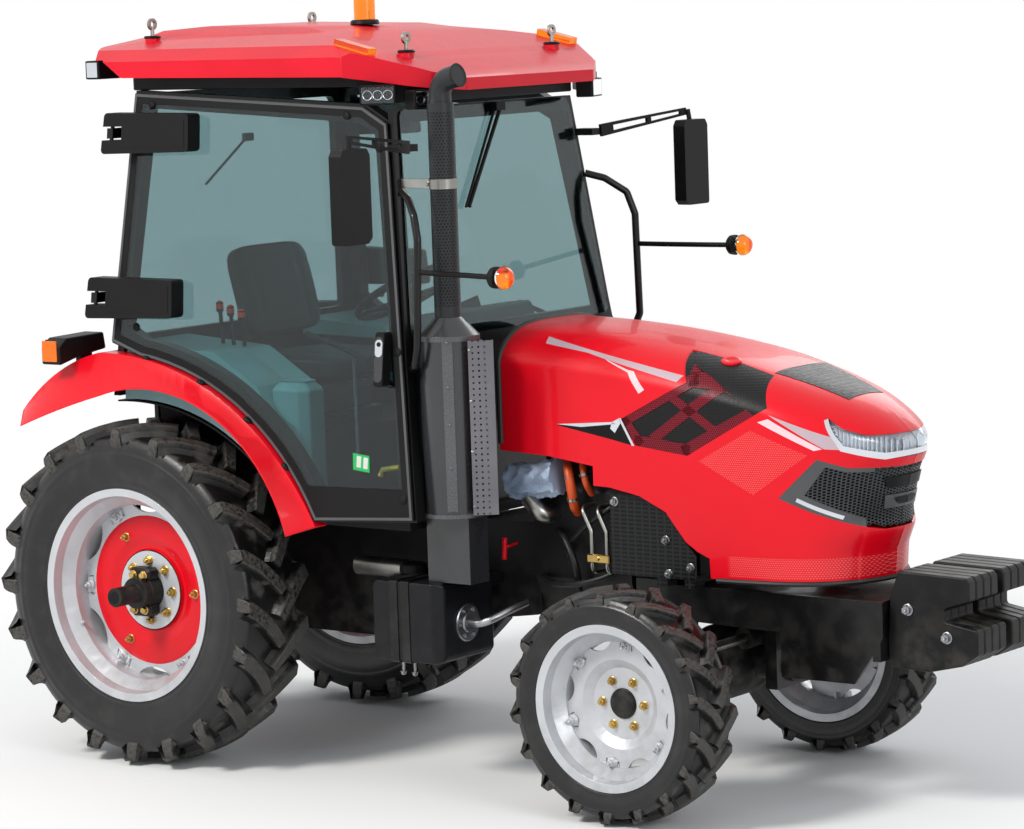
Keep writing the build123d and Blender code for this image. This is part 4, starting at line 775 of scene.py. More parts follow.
def hood_half(rows=150, wall=WALL, over=44):
    """Right half of the hood as a grid. Each row starts at a point of the plan line, climbs the side
    wall and then runs to the spine: at share t of the way in from the edge the height is
    low + (crown - low) * (1 - (1 - t) ** 3.4) ** 0.62, a wall that rolls over into a flat top."""
    share = np.linspace(0, 1, rows)
    length = np.concatenate([[0], np.cumsum(np.hypot(*np.diff(PLAN, axis=0).T))])
    edge = np.stack([np.interp(share * length[-1], length, PLAN[:, k]) for k in (0, 1)], -1)
    spine = np.where(edge[:, 0] < 2150, edge[:, 0], 2150 + (edge[:, 0] - 2150) * 430 / 646)
    inward = np.linspace(0, 1, over) ** 1.6
    x = edge[:, :1] + (spine - edge[:, 0])[:, None] * inward
    y = edge[:, 1:] * (1 - inward)
    low = station(edge[:, 0], 1)[:, None]
    z = low + (station(x, 2) - low) * (1 - (1 - inward) ** 3.4) ** 0.62
    down = np.linspace(0, 1, wall, endpoint=False)[None]
    wall_z = 745 + (low - 745) * down
    front = np.clip((edge[:, :1] - 2330) / 440, 0, 1)
    back = np.interp(wall_z, [745, 765, 850, 920, 962, 1100, 1165, 1300], [98, 93, 86, 56, 62, 30, 2, 0])
    wall_x = edge[:, :1] - back * front ** 1.5
    wall_y = np.broadcast_to(edge[:, 1:], wall_x.shape) - 0.06 * back * front * (edge[:, 1:] > 150)
    grid = np.stack([np.hstack([wall_x, x]), -np.hstack([wall_y, y]), np.hstack([wall_z, z])], -1)
    return grid * 0.001 + [REAR_X, 0, 0]


GRID = hood_half()
NORMALS = np.cross(np.gradient(GRID, axis=0), np.gradient(GRID, axis=1))
NORMALS /= np.maximum(np.linalg.norm(NORMALS, axis=-1, keepdims=True), 1e-12)
NORMALS *= np.sign(NORMALS[20, 5, 1]) * -1


def shell_part(grid, normals, outset, thick):
    """Closed sheet of even thickness over a grid; its outer face stands outset above the grid."""
    rows, cols = grid.shape[:2]
    outer, inner = grid + normals * outset, grid + normals * (outset - thick)
    faces = grid_faces(rows, cols)
    n = rows * cols
    index = np.arange(n).reshape(rows, cols)
    rim = np.concatenate([index[0, :-1], index[:-1, -1], index[-1, :0:-1], index[:0:-1, 0]])
    walls = np.stack([rim, np.roll(rim, -1), np.roll(rim, -1) + n, rim + n], -1)
    return np.vstack([outer.reshape(-1, 3), inner.reshape(-1, 3)]), [faces, faces[:, ::-1] + n, walls]


def prism(outline, near, far):
    """Prism across the tractor over an outline of (x, z) in millimetres, from y = near to y = far."""
    ring = np.asarray(outline, float)
    turn = np.cross(np.roll(ring, -1, 0) - ring, np.roll(ring, -2, 0) - np.roll(ring, -1, 0)).sum()
    ring = ring if turn > 0 else ring[::-1]
    verts, faces = extruded(ring, near, far)
    verts = np.stack([verts[:, 0] * 0.001 + REAR_X, verts[:, 2] * 0.001, verts[:, 1] * 0.001], -1)
    return verts, faces


def mirrored(part):
    """The part on the other side of the tractor's centre plane."""
    verts, faces = part
    return verts * [1, -1, 1], [np.asarray(f)[:, ::-1] for f in faces]


def consistent(mesh):
    """Weld a mesh's matching corners and point its faces outwards."""
    work = bmesh.new()
    work.from_mesh(mesh)
    bmesh.ops.remove_doubles(work, verts=work.verts, dist=1e-5)
    bmesh.ops.recalc_face_normals(work, faces=work.faces)
    work.to_mesh(mesh)
    work.free()


def carve(name, part, cutter, operation, material, body, smooth=38, replaced=()):
    """Cut a part with, or keep only its overlap with, another part; both are closed solids."""
    verts, faces = part
    obj = add_object(mesh_of(name, verts, faces, smooth=True), material)
    consistent(obj.data)
    verts, faces = cutter
    tool = add_object(mesh_of(name + "_cut", verts, faces), material)
    consistent(tool.data)
    cut = obj.modifiers.new("cut", "BOOLEAN")
    cut.operation, cut.object, cut.solver = operation, tool, "EXACT"
    made = bpy.data.meshes.new_from_object(obj.evaluated_get(bpy.context.evaluated_depsgraph_get()))
    obj.modifiers.clear()
    obj.data = made
    made.name = name
    made.polygons.foreach_set("use_smooth", np.ones(len(made.polygons), bool))
    made.set_sharp_from_angle(angle=math.radians(smooth))
    bpy.data.objects.remove(tool)
    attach(obj, body)
    if replaced:
        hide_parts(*replaced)
    return obj


OUTSIDE = -420  # a cutting prism starts outside the hood's right wall
NOSE_X = 1.6  # an outline that reaches past this wraps round the nose, where rows turn inwards


def hood_patch(name, outline, outset, thick, material, deep=-150, replaced=()):
    """Sheet cut from the hood's own surface inside an outline of (x, z), from the right wall in to
    y = deep, with its mirror image on the left; outset lifts its outer face above the skin."""
    ring = np.asarray(outline, float) * 0.001 + [REAR_X, 0]
    inside = ((GRID[..., 0] > ring[:, 0].min() - 0.06) & (GRID[..., 2] < ring[:, 1].max() + 0.08)
              & (GRID[..., 2] > ring[:, 1].min() - 0.08))
    rows = np.where(inside.any(1))[0]
    cols = np.where(inside[rows].any(0))[0]
    beyond = np.searchsorted(GRID[:, 0, 0], ring[:, 0].max() + 0.1)
    last = len(GRID) if ring[:, 0].max() > NOSE_X else min(len(GRID), beyond)
    part_of = np.s_[max(rows[0] - 1, 0):last, max(cols[0] - 1, 0):cols[-1] + 2]
    half = shell_part(GRID[part_of], NORMALS[part_of], outset, thick)
    right = carve(name + "_right", half, prism(outline, OUTSIDE, deep), "INTERSECT", material, "hood",
                  replaced=replaced)
    mesh = right.data.copy()
    mesh.name = name + "_left"
    mesh.transform(Matrix.Diagonal((1, -1, 1, 1)))
    mesh.flip_normals()
    left = bpy.data.objects.new(mesh.name, mesh)
    bpy.context.scene.collection.objects.link(left)
    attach(left, "hood")


# Outlines of the openings seen from the side, (x, z) in millimetres: window, grille mouth, lamp, and
# what is cut away below the skirt.
WINDOW = [(2030, 1519), (2338, 1470), (2416, 1328), (2122, 1163), (1918, 1187), (1856, 1271), (2116, 1402)]
MOUTH = [(2450, 1037), (2580, 1166), (2665, 1136), (2900, 1124), (2900, 938), (2720, 925), (2618, 966)]
LAMP = [(2600, 1296), (2651, 1262), (2710, 1240), (2900, 1228), (2900, 1160), (2754, 1160), (2655, 1196)]
UNDER = [(1300, 600), (1300, 1148), (1555, 1135), (1740, 1110), (1740, 1044), (1804, 1042), (1925, 1020),
         (2030, 971), (2106, 877), (2150, 848), (2196, 828), (2200, 762), (2900, 762), (2900, 600)]


def inside_polygon(tree, xz, corners, soft=0.0006):
    """Mask of a convex outline: 1 where a point lies on the inner side of every edge."""
    ring = np.asarray(corners, float) * 0.001 + [REAR_X, 0]
    if np.cross(ring[1] - ring[0], ring[2] - ring[1]) < 0:
        ring = ring[::-1]
    least = None
    for a, b in zip(ring, np.roll(ring, -1, 0)):
        inward = np.array([-(b - a)[1], (b - a)[0]]) / np.linalg.norm(b - a)
        along = add_node(tree, "VectorMath", {0: xz, 1: (inward[0], 0, inward[1])}, operation="DOT_PRODUCT")
        height = calc(tree, "SUBTRACT", along.outputs["Value"], float(inward @ a))
        least = height if least is None else calc(tree, "MINIMUM", least, height)
    return ramp(tree, least, -soft, soft)


def hood_paint():
    """Red enamel with a grey side stripe, painted highlights in lavender grey and pale pink along the
    creases, and the fields of fine holes pressed into the panel.
    """
    mat, tree, body = new_material("hood_paint")
    place = add_node(tree, "TexCoord").outputs["Object"]
    xyz = add_node(tree, "SeparateXYZ", {0: place}).outputs
    side = ramp(tree, calc(tree, "ABSOLUTE", xyz["Y"]), 0.19, 0.2)

    def area(*rings):
        total = None
        for ring in rings:
            one = inside_polygon(tree, place, ring)
            total = one if total is None else calc(tree, "MAXIMUM", total, one)
        return calc(tree, "MULTIPLY", total, side)

    # Lavender grey: the first two outlines are a grey side stripe; the third, from the window down to the
    # lamp, is a painted crease highlight.
    grey = area([(1513, 1529), (2096, 1423), (2078, 1403), (1768, 1470)],
                [(1513, 1529), (1768, 1476), (1522, 1509)],
                [(2424, 1307), (2629, 1236), (2708, 1192), (2603, 1199)])
    # Pale pink outlines along the creases: painted highlights.
    white = area([(1781, 1468), (1889, 1434), (1905, 1421), (1800, 1459)],
                 [(1880, 1436), (1908, 1432), (1958, 1374), (1935, 1360)],
                 [(2385, 1283), (2572, 1194), (2597, 1199), (2423, 1294)])
    fine = area([(2165, 1148), (2358, 1255), (2552, 1179), (2364, 1045)])
    skirt = calc(tree, "MULTIPLY", ramp(tree, xyz["Z"], 0.772, 0.774),
                 calc(tree, "SUBTRACT", 1.0, ramp(tree, xyz["Z"], 0.838, 0.84)))
    skirt = calc(tree, "MULTIPLY", skirt, ramp(tree, xyz["X"], 1.10, 1.12))
    fields = calc(tree, "MAXIMUM", fine, skirt)
    holes = calc(tree, "MULTIPLY", round_holes(tree, xyz["X"], xyz["Z"], 0.008, 0.0026), fields)
    # Lavender grey for the stripe and the painted crease highlight, then pale pink for the painted
    # highlights.
    base = mix_colour(tree, grey, srgb(216, 2, 26), srgb(184, 164, 172))
    base = mix_colour(tree, white, base, srgb(232, 196, 202))
    base = mix_colour(tree, calc(tree, "MULTIPLY", holes, 0.75), base, srgb(222, 96, 96))
    body.inputs["Coat Weight"].default_value = 0.22
    body.inputs["Coat Roughness"].default_value = 0.05
    body.inputs["Specular IOR Level"].default_value = 0.2
    weathered(tree, body, base, base, dust=0.06, height=0.6, gloss=0.36, grain=90, relief=0.012)
    return mat


HOOD_RED = hood_paint()
OPENINGS = merged([prism(WINDOW, OUTSIDE, -175)]
                  + [prism(ring, OUTSIDE, 30) for ring in (MOUTH, LAMP, UNDER)])


def hood_skin():
    """Right half of the skin cut by its openings, with its mirror image welded on along the spine."""
    half = carve("hood_skin", shell_part(GRID, NORMALS, 0.0, 0.006), OPENINGS, "DIFFERENCE", HOOD_RED, "hood")
    mesh = half.data
    work = bmesh.new()
    work.from_mesh(mesh)
    middle = [f for f in work.faces if all(abs(v.co.y) < 2e-4 for v in f.verts)]
    bmesh.ops.delete(work, geom=middle, context="FACES")
    for v in work.verts:
        if abs(v.co.y) < 2e-4:
            v.co.y = 0.0
    copy = bmesh.ops.duplicate(work, geom=work.verts[:] + work.edges[:] + work.faces[:])["geom"]
    for v in (g for g in copy if isinstance(g, bmesh.types.BMVert)):
        v.co.y *= -1
    bmesh.ops.reverse_faces(work, faces=[g for g in copy if isinstance(g, bmesh.types.BMFace)])
    bmesh.ops.remove_doubles(work, verts=[v for v in work.verts if v.co.y == 0], dist=1e-4)
    work.to_mesh(mesh)
    work.free()
    mesh.polygons.foreach_set("use_smooth", np.ones(len(mesh.polygons), bool))
    mesh.set_sharp_from_angle(angle=math.radians(42))
    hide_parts("hood_panel")


hood_skin()

# ---------------------------------------------------------------- hood windows, mouth and lamps
# Pressed mesh plates behind the side windows, a honeycomb mouth with a grey surround, wraparound
# lamps with bright fins, and the bright spear and black panel let into the skin.


def mesh_plate(name, ground, bar, pitch):
    """Perforated plate: staggered rows of holes sunk dark into the plate's own colour."""
    mat, tree, body = new_material(name)
    place = add_node(tree, "TexCoord").outputs["Object"]
    xyz = add_node(tree, "SeparateXYZ", {0: place}).outputs
    hole = round_holes(tree, xyz["X"], xyz["Z"], pitch, pitch * 0.34)
    colour = mix_colour(tree, hole, bar, ground)
    drift = add_node(tree, "TexNoise", {"Vector": place, "Scale": 60.0, "Detail": 4.0}).outputs[0]
    rough = calc(tree, "MULTIPLY_ADD", drift, 0.2, 0.32)
    bump = add_node(tree, "Bump", {"Height": calc(tree, "SUBTRACT", 1.0, hole), "Strength": 0.6,
                                   "Distance": 0.002})
    body.inputs["Specular IOR Level"].default_value = 0.25
    for value, into in ((colour, "Base Color"), (rough, "Roughness"), (bump.outputs[0], "Normal")):
        tree.links.new(value, body.inputs[into])
    return mat


BLACK_MESH = mesh_plate("black_mesh", srgb(2, 2, 2), srgb(24, 23, 24), 0.009)
MAROON_MESH = mesh_plate("maroon_mesh", srgb(34, 3, 8), srgb(132, 12, 34), 0.008)
CHROME = finish("bright_trim", srgb(226, 230, 236), srgb(210, 214, 220), metal=1.0, dust=0.05, gloss=0.14,
                grain=80, relief=0.01)
GREY_TRIM = finish("grey_trim", srgb(74, 76, 78), srgb(64, 66, 68), dust=0.1, gloss=0.42, grain=700,
                   relief=0.1)
SEAL = finish("rubber_seal", srgb(14, 14, 15), srgb(20, 20, 21), dust=0.15, gloss=0.55, grain=500, relief=0.1)


def strip(points, width):
    """Outlines of the straight bars of one width along each run between points."""
    bars = []
    for a, b in zip(np.asarray(points, float)[:-1], np.asarray(points, float)[1:]):
        ahead = (b - a) / np.linalg.norm(b - a)
        across = np.array([-ahead[1], ahead[0]]) * width / 2
        bars.append([a - across - ahead * width * 0.3, b - across + ahead * width * 0.3,
                     b + across + ahead * width * 0.3, a + across - ahead * width * 0.3])
    return bars


def joined_patch(name, outlines, outset, thick, material):
    """Several outlines of one patch material, each cut from the hood's surface."""
    for k, ring in enumerate(outlines):
        hood_patch(f"{name}_{k}", ring, outset, thick, material)


hood_patch("window_back", WINDOW, -0.004, 0.002, BLACK_MESH, replaced=("hood_grilles",))
hood_patch("window_black", [(2030, 1519), (2338, 1470), (2416, 1328), (2372, 1304), (2270, 1376),
                            (2196, 1420), (2120, 1450)],
           -0.0005, 0.002, BLACK_MESH)
joined_patch("window_frame", strip([(1866, 1270), (1924, 1198), (2118, 1178), (2400, 1326), (2262, 1402),
                                    (2140, 1412), (1866, 1270)], 46),
             -0.0015, 0.002, MAROON_MESH)
joined_patch("window_bars", strip([(1990, 1215), (2262, 1402)], 34) + strip([(2040, 1370), (2240, 1240)], 30)
             + strip([(2120, 1452), (2236, 1478), (2200, 1400)], 40), -0.0025, 0.002, MAROON_MESH)
hood_patch("spear_dark", [(1594, 1243), (1827, 1259), (1854, 1273), (1907, 1187), (1805, 1207)], 0.0015,
           0.002, PLASTIC)
joined_patch("spear_bright", [[(1594, 1245), (1827, 1262), (1840, 1256), (1700, 1240)],
                              [(1826, 1262), (1856, 1276), (1862, 1262), (1836, 1226), (1818, 1240)],
                              [(1852, 1276), (1862, 1276), (1914, 1186), (1903, 1187)]], 0.0028, 0.0015,
             CHROME)


# The honeycomb bars are black on the tractor; their mid grey here is a painted highlight.
BARS_HIGHLIGHT = finish("grille_bars", srgb(62, 64, 66), srgb(50, 52, 54), shine=0.5, dust=0.05, gloss=0.35,
              grain=300, relief=0.02)


def mouth():
    """Honeycomb of real bars across the mouth with the blank plate and slot at its middle."""
    ground = mesh_plate("mouth_ground", srgb(2, 2, 2), srgb(12, 12, 12), 0.012)
    hood_patch("mouth_ground", [(2478, 1037), (2590, 1148), (2665, 1124), (2900, 1112), (2900, 950),
                                (2720, 937), (2624, 980)], -0.016, 0.002, ground, deep=0)
    hood_patch("mouth_rim_top", [(2450, 1037), (2580, 1166), (2665, 1136), (2900, 1124), (2900, 1110),
                                 (2664, 1121), (2602, 1140), (2535, 1048)],
               -0.001, 0.012, GREY_TRIM)
    hood_patch("mouth_rim_low", [(2450, 1037), (2535, 1048), (2648, 988), (2722, 944), (2900, 956),
                                 (2900, 938), (2720, 925), (2618, 966)],
               -0.001, 0.012, GREY_TRIM)
    # Bright chrome strip along the mouth's lower edge: it stands in for the light caught on the crease there,
    # a painted highlight.
    joined_patch("mouth_bright", strip([(2514, 1032), (2636, 974)], 13), 0.0005, 0.003, CHROME)
    region = (GRID[..., 0] > mm(2440, 0, 0)[0]) & (GRID[..., 2] < 1.19) & (GRID[..., 2] > 0.90)
    rows = np.where(region.any(1))[0]
    length = np.concatenate([[0], np.cumsum(np.linalg.norm(np.diff(GRID[rows[0]:, 8], axis=0), axis=1))])
    cell, parts = 0.0155, []
    outline = np.array([(2478, 1037), (2588, 1152), (2665, 1126), (2900, 1114), (2900, 948), (2720, 935),
                        (2622, 978)])

    def on_surface(s, z):
        """Point and normal of the skin at a length along the mouth and a height."""
        r = np.interp(s, length, np.arange(len(length)))
        r0 = int(min(r, len(length) - 2))
        f = r - r0
        line = GRID[rows[0] + r0] * (1 - f) + GRID[rows[0] + r0 + 1] * f
        norm = NORMALS[rows[0] + r0] * (1 - f) + NORMALS[rows[0] + r0 + 1] * f
        return (np.array([np.interp(z, line[:WALL, 2], line[:WALL, k]) for k in range(3)]),
                np.array([np.interp(z, line[:WALL, 2], norm[:WALL, k]) for k in range(3)]))

    def inside(p):
        """Whether a point lies in the mouth's outline: a level ray from it crosses an odd count of edges."""
        x, z = (p[0] - REAR_X) * 1000, p[2] * 1000
        hit = False
        for (x0, z0), (x1, z1) in zip(outline, np.roll(outline, -1, 0)):
            if (z0 > z) != (z1 > z) and x < (x1 - x0) * (z - z0) / (z1 - z0) + x0:
                hit = not hit
        return hit

    for i in range(int(length[-1] / (cell * 0.9)) + 2):
        for k in range(26):
            s0, z0 = i * cell * 0.9, 0.90 + k * cell * 0.62 + (i % 2) * cell * 0.31
            p, _ = on_surface(min(s0, length[-1]), z0)
            if s0 > length[-1] or not inside(p):
                continue
            angle = np.radians(60 * np.arange(6))
            outer = [on_surface(np.clip(s0 + math.cos(a) * cell * 0.58, 0, length[-1]),
                                z0 + math.sin(a) * cell * 0.36) for a in angle]
            inner = [on_surface(np.clip(s0 + math.cos(a) * cell * 0.43, 0, length[-1]),
                                z0 + math.sin(a) * cell * 0.26) for a in angle]
            ring = np.array([q - n * 0.003 for q, n in outer] + [q - n * 0.003 for q, n in inner]
                            + [q - n * 0.013 for q, n in inner])
            parts.append((ring, [grid_faces(3, 6, wrap_cols=True)]))
    verts, faces = merged(parts)
    both_sides = merged([(verts, faces), mirrored((verts, faces))])
    piece("mouth_honeycomb", [both_sides], BARS_HIGHLIGHT, "hood", smooth=25)
    hood_patch("mouth_badge_field", [(2738, 1060), (2738, 1096), (2900, 1096), (2900, 1060)], 0.003, 0.008,
               PLASTIC, deep=0)
    hood_patch("mouth_slot_rim", [(2722, 992), (2730, 1036), (2900, 1036), (2900, 992)], 0.002, 0.008,
               GREY_TRIM, deep=0)
    hood_patch("mouth_slot", [(2746, 1003), (2746, 1025), (2900, 1025), (2900, 1003)], 0.007, 0.009, PLASTIC,
               deep=0)


mouth()


def lamp_shell():
    """Headlamp: a satin sheet that is the skin's own surface moved inwards, upright chrome fins on it,
    the clear lens in the skin, and the chrome brow along the lamp's rear and lower edges."""
    region = (GRID[..., 0] > mm(2585, 0, 0)[0]) & (GRID[..., 2] < 1.325) & (GRID[..., 2] > 1.135)
    rows, cols = np.where(region.any(1))[0], np.where(region.any(0))[0]
    behind = np.s_[rows[0]:, cols[0]:cols[-1] + 1]
    bowl = shell_part(GRID[behind] + [-0.024, 0.01, 0], NORMALS[behind], 0.0, 0.002)
    piece("lamp_bowl", [bowl, mirrored(bowl)], SATIN, "hood", replaced=("headlamps",))
    hood_patch("lamp_lens", LAMP, -0.001, 0.003, CRYSTAL, deep=0)
    hood_patch("lamp_brow", [(2602, 1294), (2657, 1208), (2754, 1180), (2820, 1184), (2900, 1200),
                             (2900, 1190), (2820, 1168), (2752, 1158), (2648, 1192), (2594, 1290)],
               0.0005, 0.008, CHROME, deep=0)
    fins = []
    for x in np.linspace(2622, 2782, 17):
        y = -np.interp(x, PLAN[:, 0], PLAN[:, 1]) + 14
        top = float(np.interp(x, [2600, 2651, 2710, 2800], [1290, 1258, 1238, 1228]))
        low = float(np.interp(x, [2600, 2655, 2754, 2800], [1275, 1202, 1166, 1164]))
        mid, tall = (top + low) / 2, (top - low) * 0.8
        fin = chamfered(0.004, 0.026, max(tall, 8) * 0.001)
        lean = math.radians(30)
        fins.append(moved(fin, mm(x - 10, y + 14, mid),
                          np.array([[math.cos(lean), -math.sin(lean), 0],
                                    [math.sin(lean), math.cos(lean), 0], [0, 0, 1]])))
    fins = merged(fins)
    piece("lamp_fins", [fins, mirrored(fins)], CHROME, "hood", smooth=20)


lamp_shell()


def top_panel():
    """Black louvre panel on the hood's nose and the small latch behind it, draped on the skin."""
    corners = np.array([[2356, -155], [2356, 155], [2604, 106], [2604, -106]], float)
    u, v = np.meshgrid(np.linspace(0, 1, 18), np.linspace(0, 1, 26), indexing="ij")
    u, v = u[..., None], v[..., None]
    flat = ((1 - u) * (1 - v) * corners[0] + (1 - u) * v * corners[1] + u * v * corners[2]
            + u * (1 - v) * corners[3])
    heights = skin_height(flat)
    grid = np.concatenate([flat, heights[..., None]], -1) * 0.001 + [REAR_X, 0, 0]
    normal = np.cross(np.gradient(grid, axis=0), np.gradient(grid, axis=1))
    normal /= np.linalg.norm(normal, axis=-1, keepdims=True)
    normal *= np.sign(normal[..., 2:])
    piece("nose_panel", [shell_part(grid, normal, 0.0015, 0.003)], BLACK_MESH, "hood")
    spot = np.array([2205.0, -185.0])
    at = np.array([*spot, skin_height(spot[None])[0]]) * 0.001 + [REAR_X, 0, 0.001]
    knob = lathe([(0, -0.004), (0.034, -0.004), (0.034, 0.002), (0.028, 0.005), (0.02, 0.005), (0.014, 0.002),
                  (0, 0.002)], 28)
    piece("hood_latch", [moved(knob, at, turn_to((0.15, -0.25, 1)))], HOOD_RED, "hood")


def skin_height(points):
    """Height of the hood's skin in millimetres at each (x, y) point: that of a plane fitted to the
    eight nearest surface points, the nearer ones counting more."""
    cloud = GRID[:, WALL:].reshape(-1, 3)
    cloud = np.vstack([cloud, cloud * [1, -1, 1]])
    flat = np.asarray(points, float).reshape(-1, 2) * 0.001 + [REAR_X, 0]
    out = []
    for p in flat:
        gap = np.hypot(*(cloud[:, :2] - p).T)
        near = np.argsort(gap)[:8]
        a = np.c_[cloud[near, :2] - p, np.ones(8)]
        weight = 1 / (gap[near] + 1e-4)
        fit = np.linalg.lstsq(a * weight[:, None], cloud[near, 2] * weight, rcond=None)[0]
        out.append(fit[2] * 1000)
    return np.array(out).reshape(np.shape(points)[:-1])


top_panel()


def hood_seal():
    """Rubber bead along the hood's rear edge, and the dark trim under its skirt."""
    ring = GRID[0]
    ring = ring[ring[:, 2] > 1.15]
    path = np.vstack([ring, (ring * [1, -1, 1])[::-1]])
    piece("hood_seal", [swept(path + [0.006, 0, -0.004], 0.011, 10)], SEAL, "hood")
    low = GRID[GRID[:, 0, 0] > mm(2215, 0, 0)[0]][:, 1].copy()
    low[:, 2] = 0.757
    path = np.vstack([low, (low * [1, -1, 1])[-2::-1]])
    piece("skirt_trim", [swept(path, 0.0085, 8)], SEAL, "hood")


hood_seal()

# ---------------------------------------------------------------- exhaust, engine side and tank
# Perforated stack in a steel stay, the silencer with one riveted seam, and the punched wing of its
# heat shield. Between cab and front wheel: heat wrap, hoses, slotted guards and the strapped tank.


def perforated(name, pitch, hole, plate, tube=None, low=-9.0, high=9.0):
    """Painted plate with staggered round holes between two heights, laid out flat or, where tube is
    (x, y, radius), round an upright tube by angle times radius."""
    mat, tree, body = new_material(name)
    place = add_node(tree, "TexCoord").outputs["Object"]
    xyz = add_node(tree, "SeparateXYZ", {0: place}).outputs
    along = calc(tree, "MULTIPLY", xyz["X"], 1.4)
    if tube is not None:
        turn = calc(tree, "ARCTAN2", calc(tree, "SUBTRACT", xyz["Y"], tube[1]),
                    calc(tree, "SUBTRACT", xyz["X"], tube[0]))
        along = calc(tree, "MULTIPLY", turn, tube[2])
    band = calc(tree, "MULTIPLY", ramp(tree, xyz["Z"], low, low + 0.002),
                calc(tree, "SUBTRACT", 1.0, ramp(tree, xyz["Z"], high, high + 0.002)))
    holes = calc(tree, "MULTIPLY", round_holes(tree, along, xyz["Z"], pitch, hole), band)
    body.inputs["Specular IOR Level"].default_value = 0.25
    group = weathered(tree, body, mix_colour(tree, holes, plate, srgb(1, 1, 1)), plate, dust=0.1,
                      gloss=0.34, grain=160, relief=0.05)
    tree.links.new(mix_colour(tree, holes, group.outputs["Color"], srgb(1, 1, 1)), body.inputs["Base Color"])
    bump = add_node(tree, "Bump", {"Height": calc(tree, "SUBTRACT", 1.0, holes), "Strength": 0.7,
                                   "Distance": 0.002})
    tree.links.new(bump.outputs[0], body.inputs["Normal"])
    return mat


EXHAUST = mm(1290, -512, 0)
STACK = perforated("stack_mesh", 2 * math.pi * 0.045 / 24, 0.0034, srgb(40, 42, 44),
                   (EXHAUST[0], EXHAUST[1], 0.045), 1.65, 2.30)
SHIELD = perforated("shield_mesh", 0.026, 0.0052, srgb(92, 94, 96), low=0.96, high=1.51)
bpy.data.objects["exhaust_stack_soft"].data.materials[0] = STACK
dress(SHIELD, "heat_shield")


def ring_at(z, radius, tall):
    """Collar round the exhaust's centre line."""
    return moved(lathe([(0, -tall / 2), (radius - 0.001, -tall / 2), (radius, -tall / 2 + 0.001),
                        (radius, tall / 2 - 0.001), (radius - 0.001, tall / 2), (0, tall / 2)], 40),
                 EXHAUST + [0, 0, z])


def exhaust_fittings():
    """Riveted seam and end rings of the silencer, in a lighter grey that is a painted highlight, the heat
    shield's flat wing built of strips that leave rows of slots, with its rivets, and the band, stay and
    rolled lip of the stack."""
    dome = lathe([(0, 0), (0.0052, 0), (0.0046, 0.0022), (0.0026, 0.0036), (0, 0.004)], 10)
    turn = math.radians(-56)
    out, along = np.array([math.cos(turn), math.sin(turn), 0]), np.array([-math.sin(turn), math.cos(turn), 0])
    frame = np.stack([out, along, [0, 0, 1]], -1)
    seams = [moved(chamfered(0.003, 0.036, 0.57), EXHAUST + out * 0.1018 + [0, 0, 1.252], frame)]
    seams += [moved(dome, EXHAUST + out * 0.1033 + [0, 0, z], turn_to(out))
              for z in (1.535, 1.385, 1.26, 1.113, 0.972)]
    seams += [ring_at(0.95, 0.108, 0.014), ring_at(1.546, 0.1045, 0.018)]
    # The seam strip, its rivet heads and the two end rings share a lighter grey: a painted highlight along
    # them.
    piece("muffler_seams", seams, SEAM_HIGHLIGHT, "chassis")
    along, out = np.array([0.763, 0.647, 0]), np.array([0.647, -0.763, 0])
    frame = np.stack([along, out, [0, 0, 1]], -1)
    foot = mm(1408, -563, 0)

    def sheet(near, far, low, high):
        """Strip of the wing between two distances from its fold and two heights."""
        return moved(chamfered(far - near, 0.0022, high - low, 0.05),
                     foot + along * (near + far) / 2 + [0, 0, (low + high) / 2], frame)

    bottom, top = 0.955, 1.541
    wing = [sheet(near, far, bottom, top)
            for near, far in ((0, 0.012), (0.018, 0.032), (0.038, 0.052), (0.058, 0.084))]
    rows = 0.963 + 0.02 * np.arange(29)
    for near in (0.012, 0.032, 0.052):
        wing += [sheet(near, near + 0.006, low, min(low + 0.014, top)) for low in rows]
        wing.append(sheet(near, near + 0.006, bottom, 0.957))
    turned = np.stack([out, -along, [0, 0, 1]], -1)
    wing.append(moved(chamfered(0.02, 0.0022, 0.586, 0.05),
                      foot + along * 0.084 - out * 0.009 + [0, 0, 1.248], turned))
    piece("shield_wing", wing, SHEET, "chassis", smooth=20)
    rivets = [moved(dome, foot + along * 0.004 + out * 0.0012 + [0, 0, z], turn_to(out))
              for z in (1.51, 1.34, 1.17, 0.985)]
    piece("wing_rivets", rivets, ZINC, "chassis")
    bar = moved(chamfered(0.13, 0.006, 0.032), mm(1176, -513, 2060))
    ears = [moved(chamfered(0.026, 0.004, 0.034), mm(1236, -513 + s * 6, 2060)) for s in (-1, 1)]
    bolt = moved(hex_bolt(0.013, 0.008), mm(1234, -522, 2060), turn_to((0, -1, 0)))
    piece("stack_stay", [ring_at(2.06, 0.0475, 0.034), bar, bolt] + ears, STEEL, "chassis")
    lip = moved(lathe([(0.034, -0.002), (0.041, -0.002), (0.041, 0.003), (0.034, 0.003)], 32),
                mm(1368, -512, 2419.4), turn_to((0.97, 0, 0.243)))
    piece("stack_lip", [lip], ENAMEL, "chassis")


SILENCER = finish("silencer_enamel", srgb(42, 43, 45), srgb(36, 37, 39), shine=0.7, dust=0.02, gloss=0.24,
                  grain=220, relief=0.0)
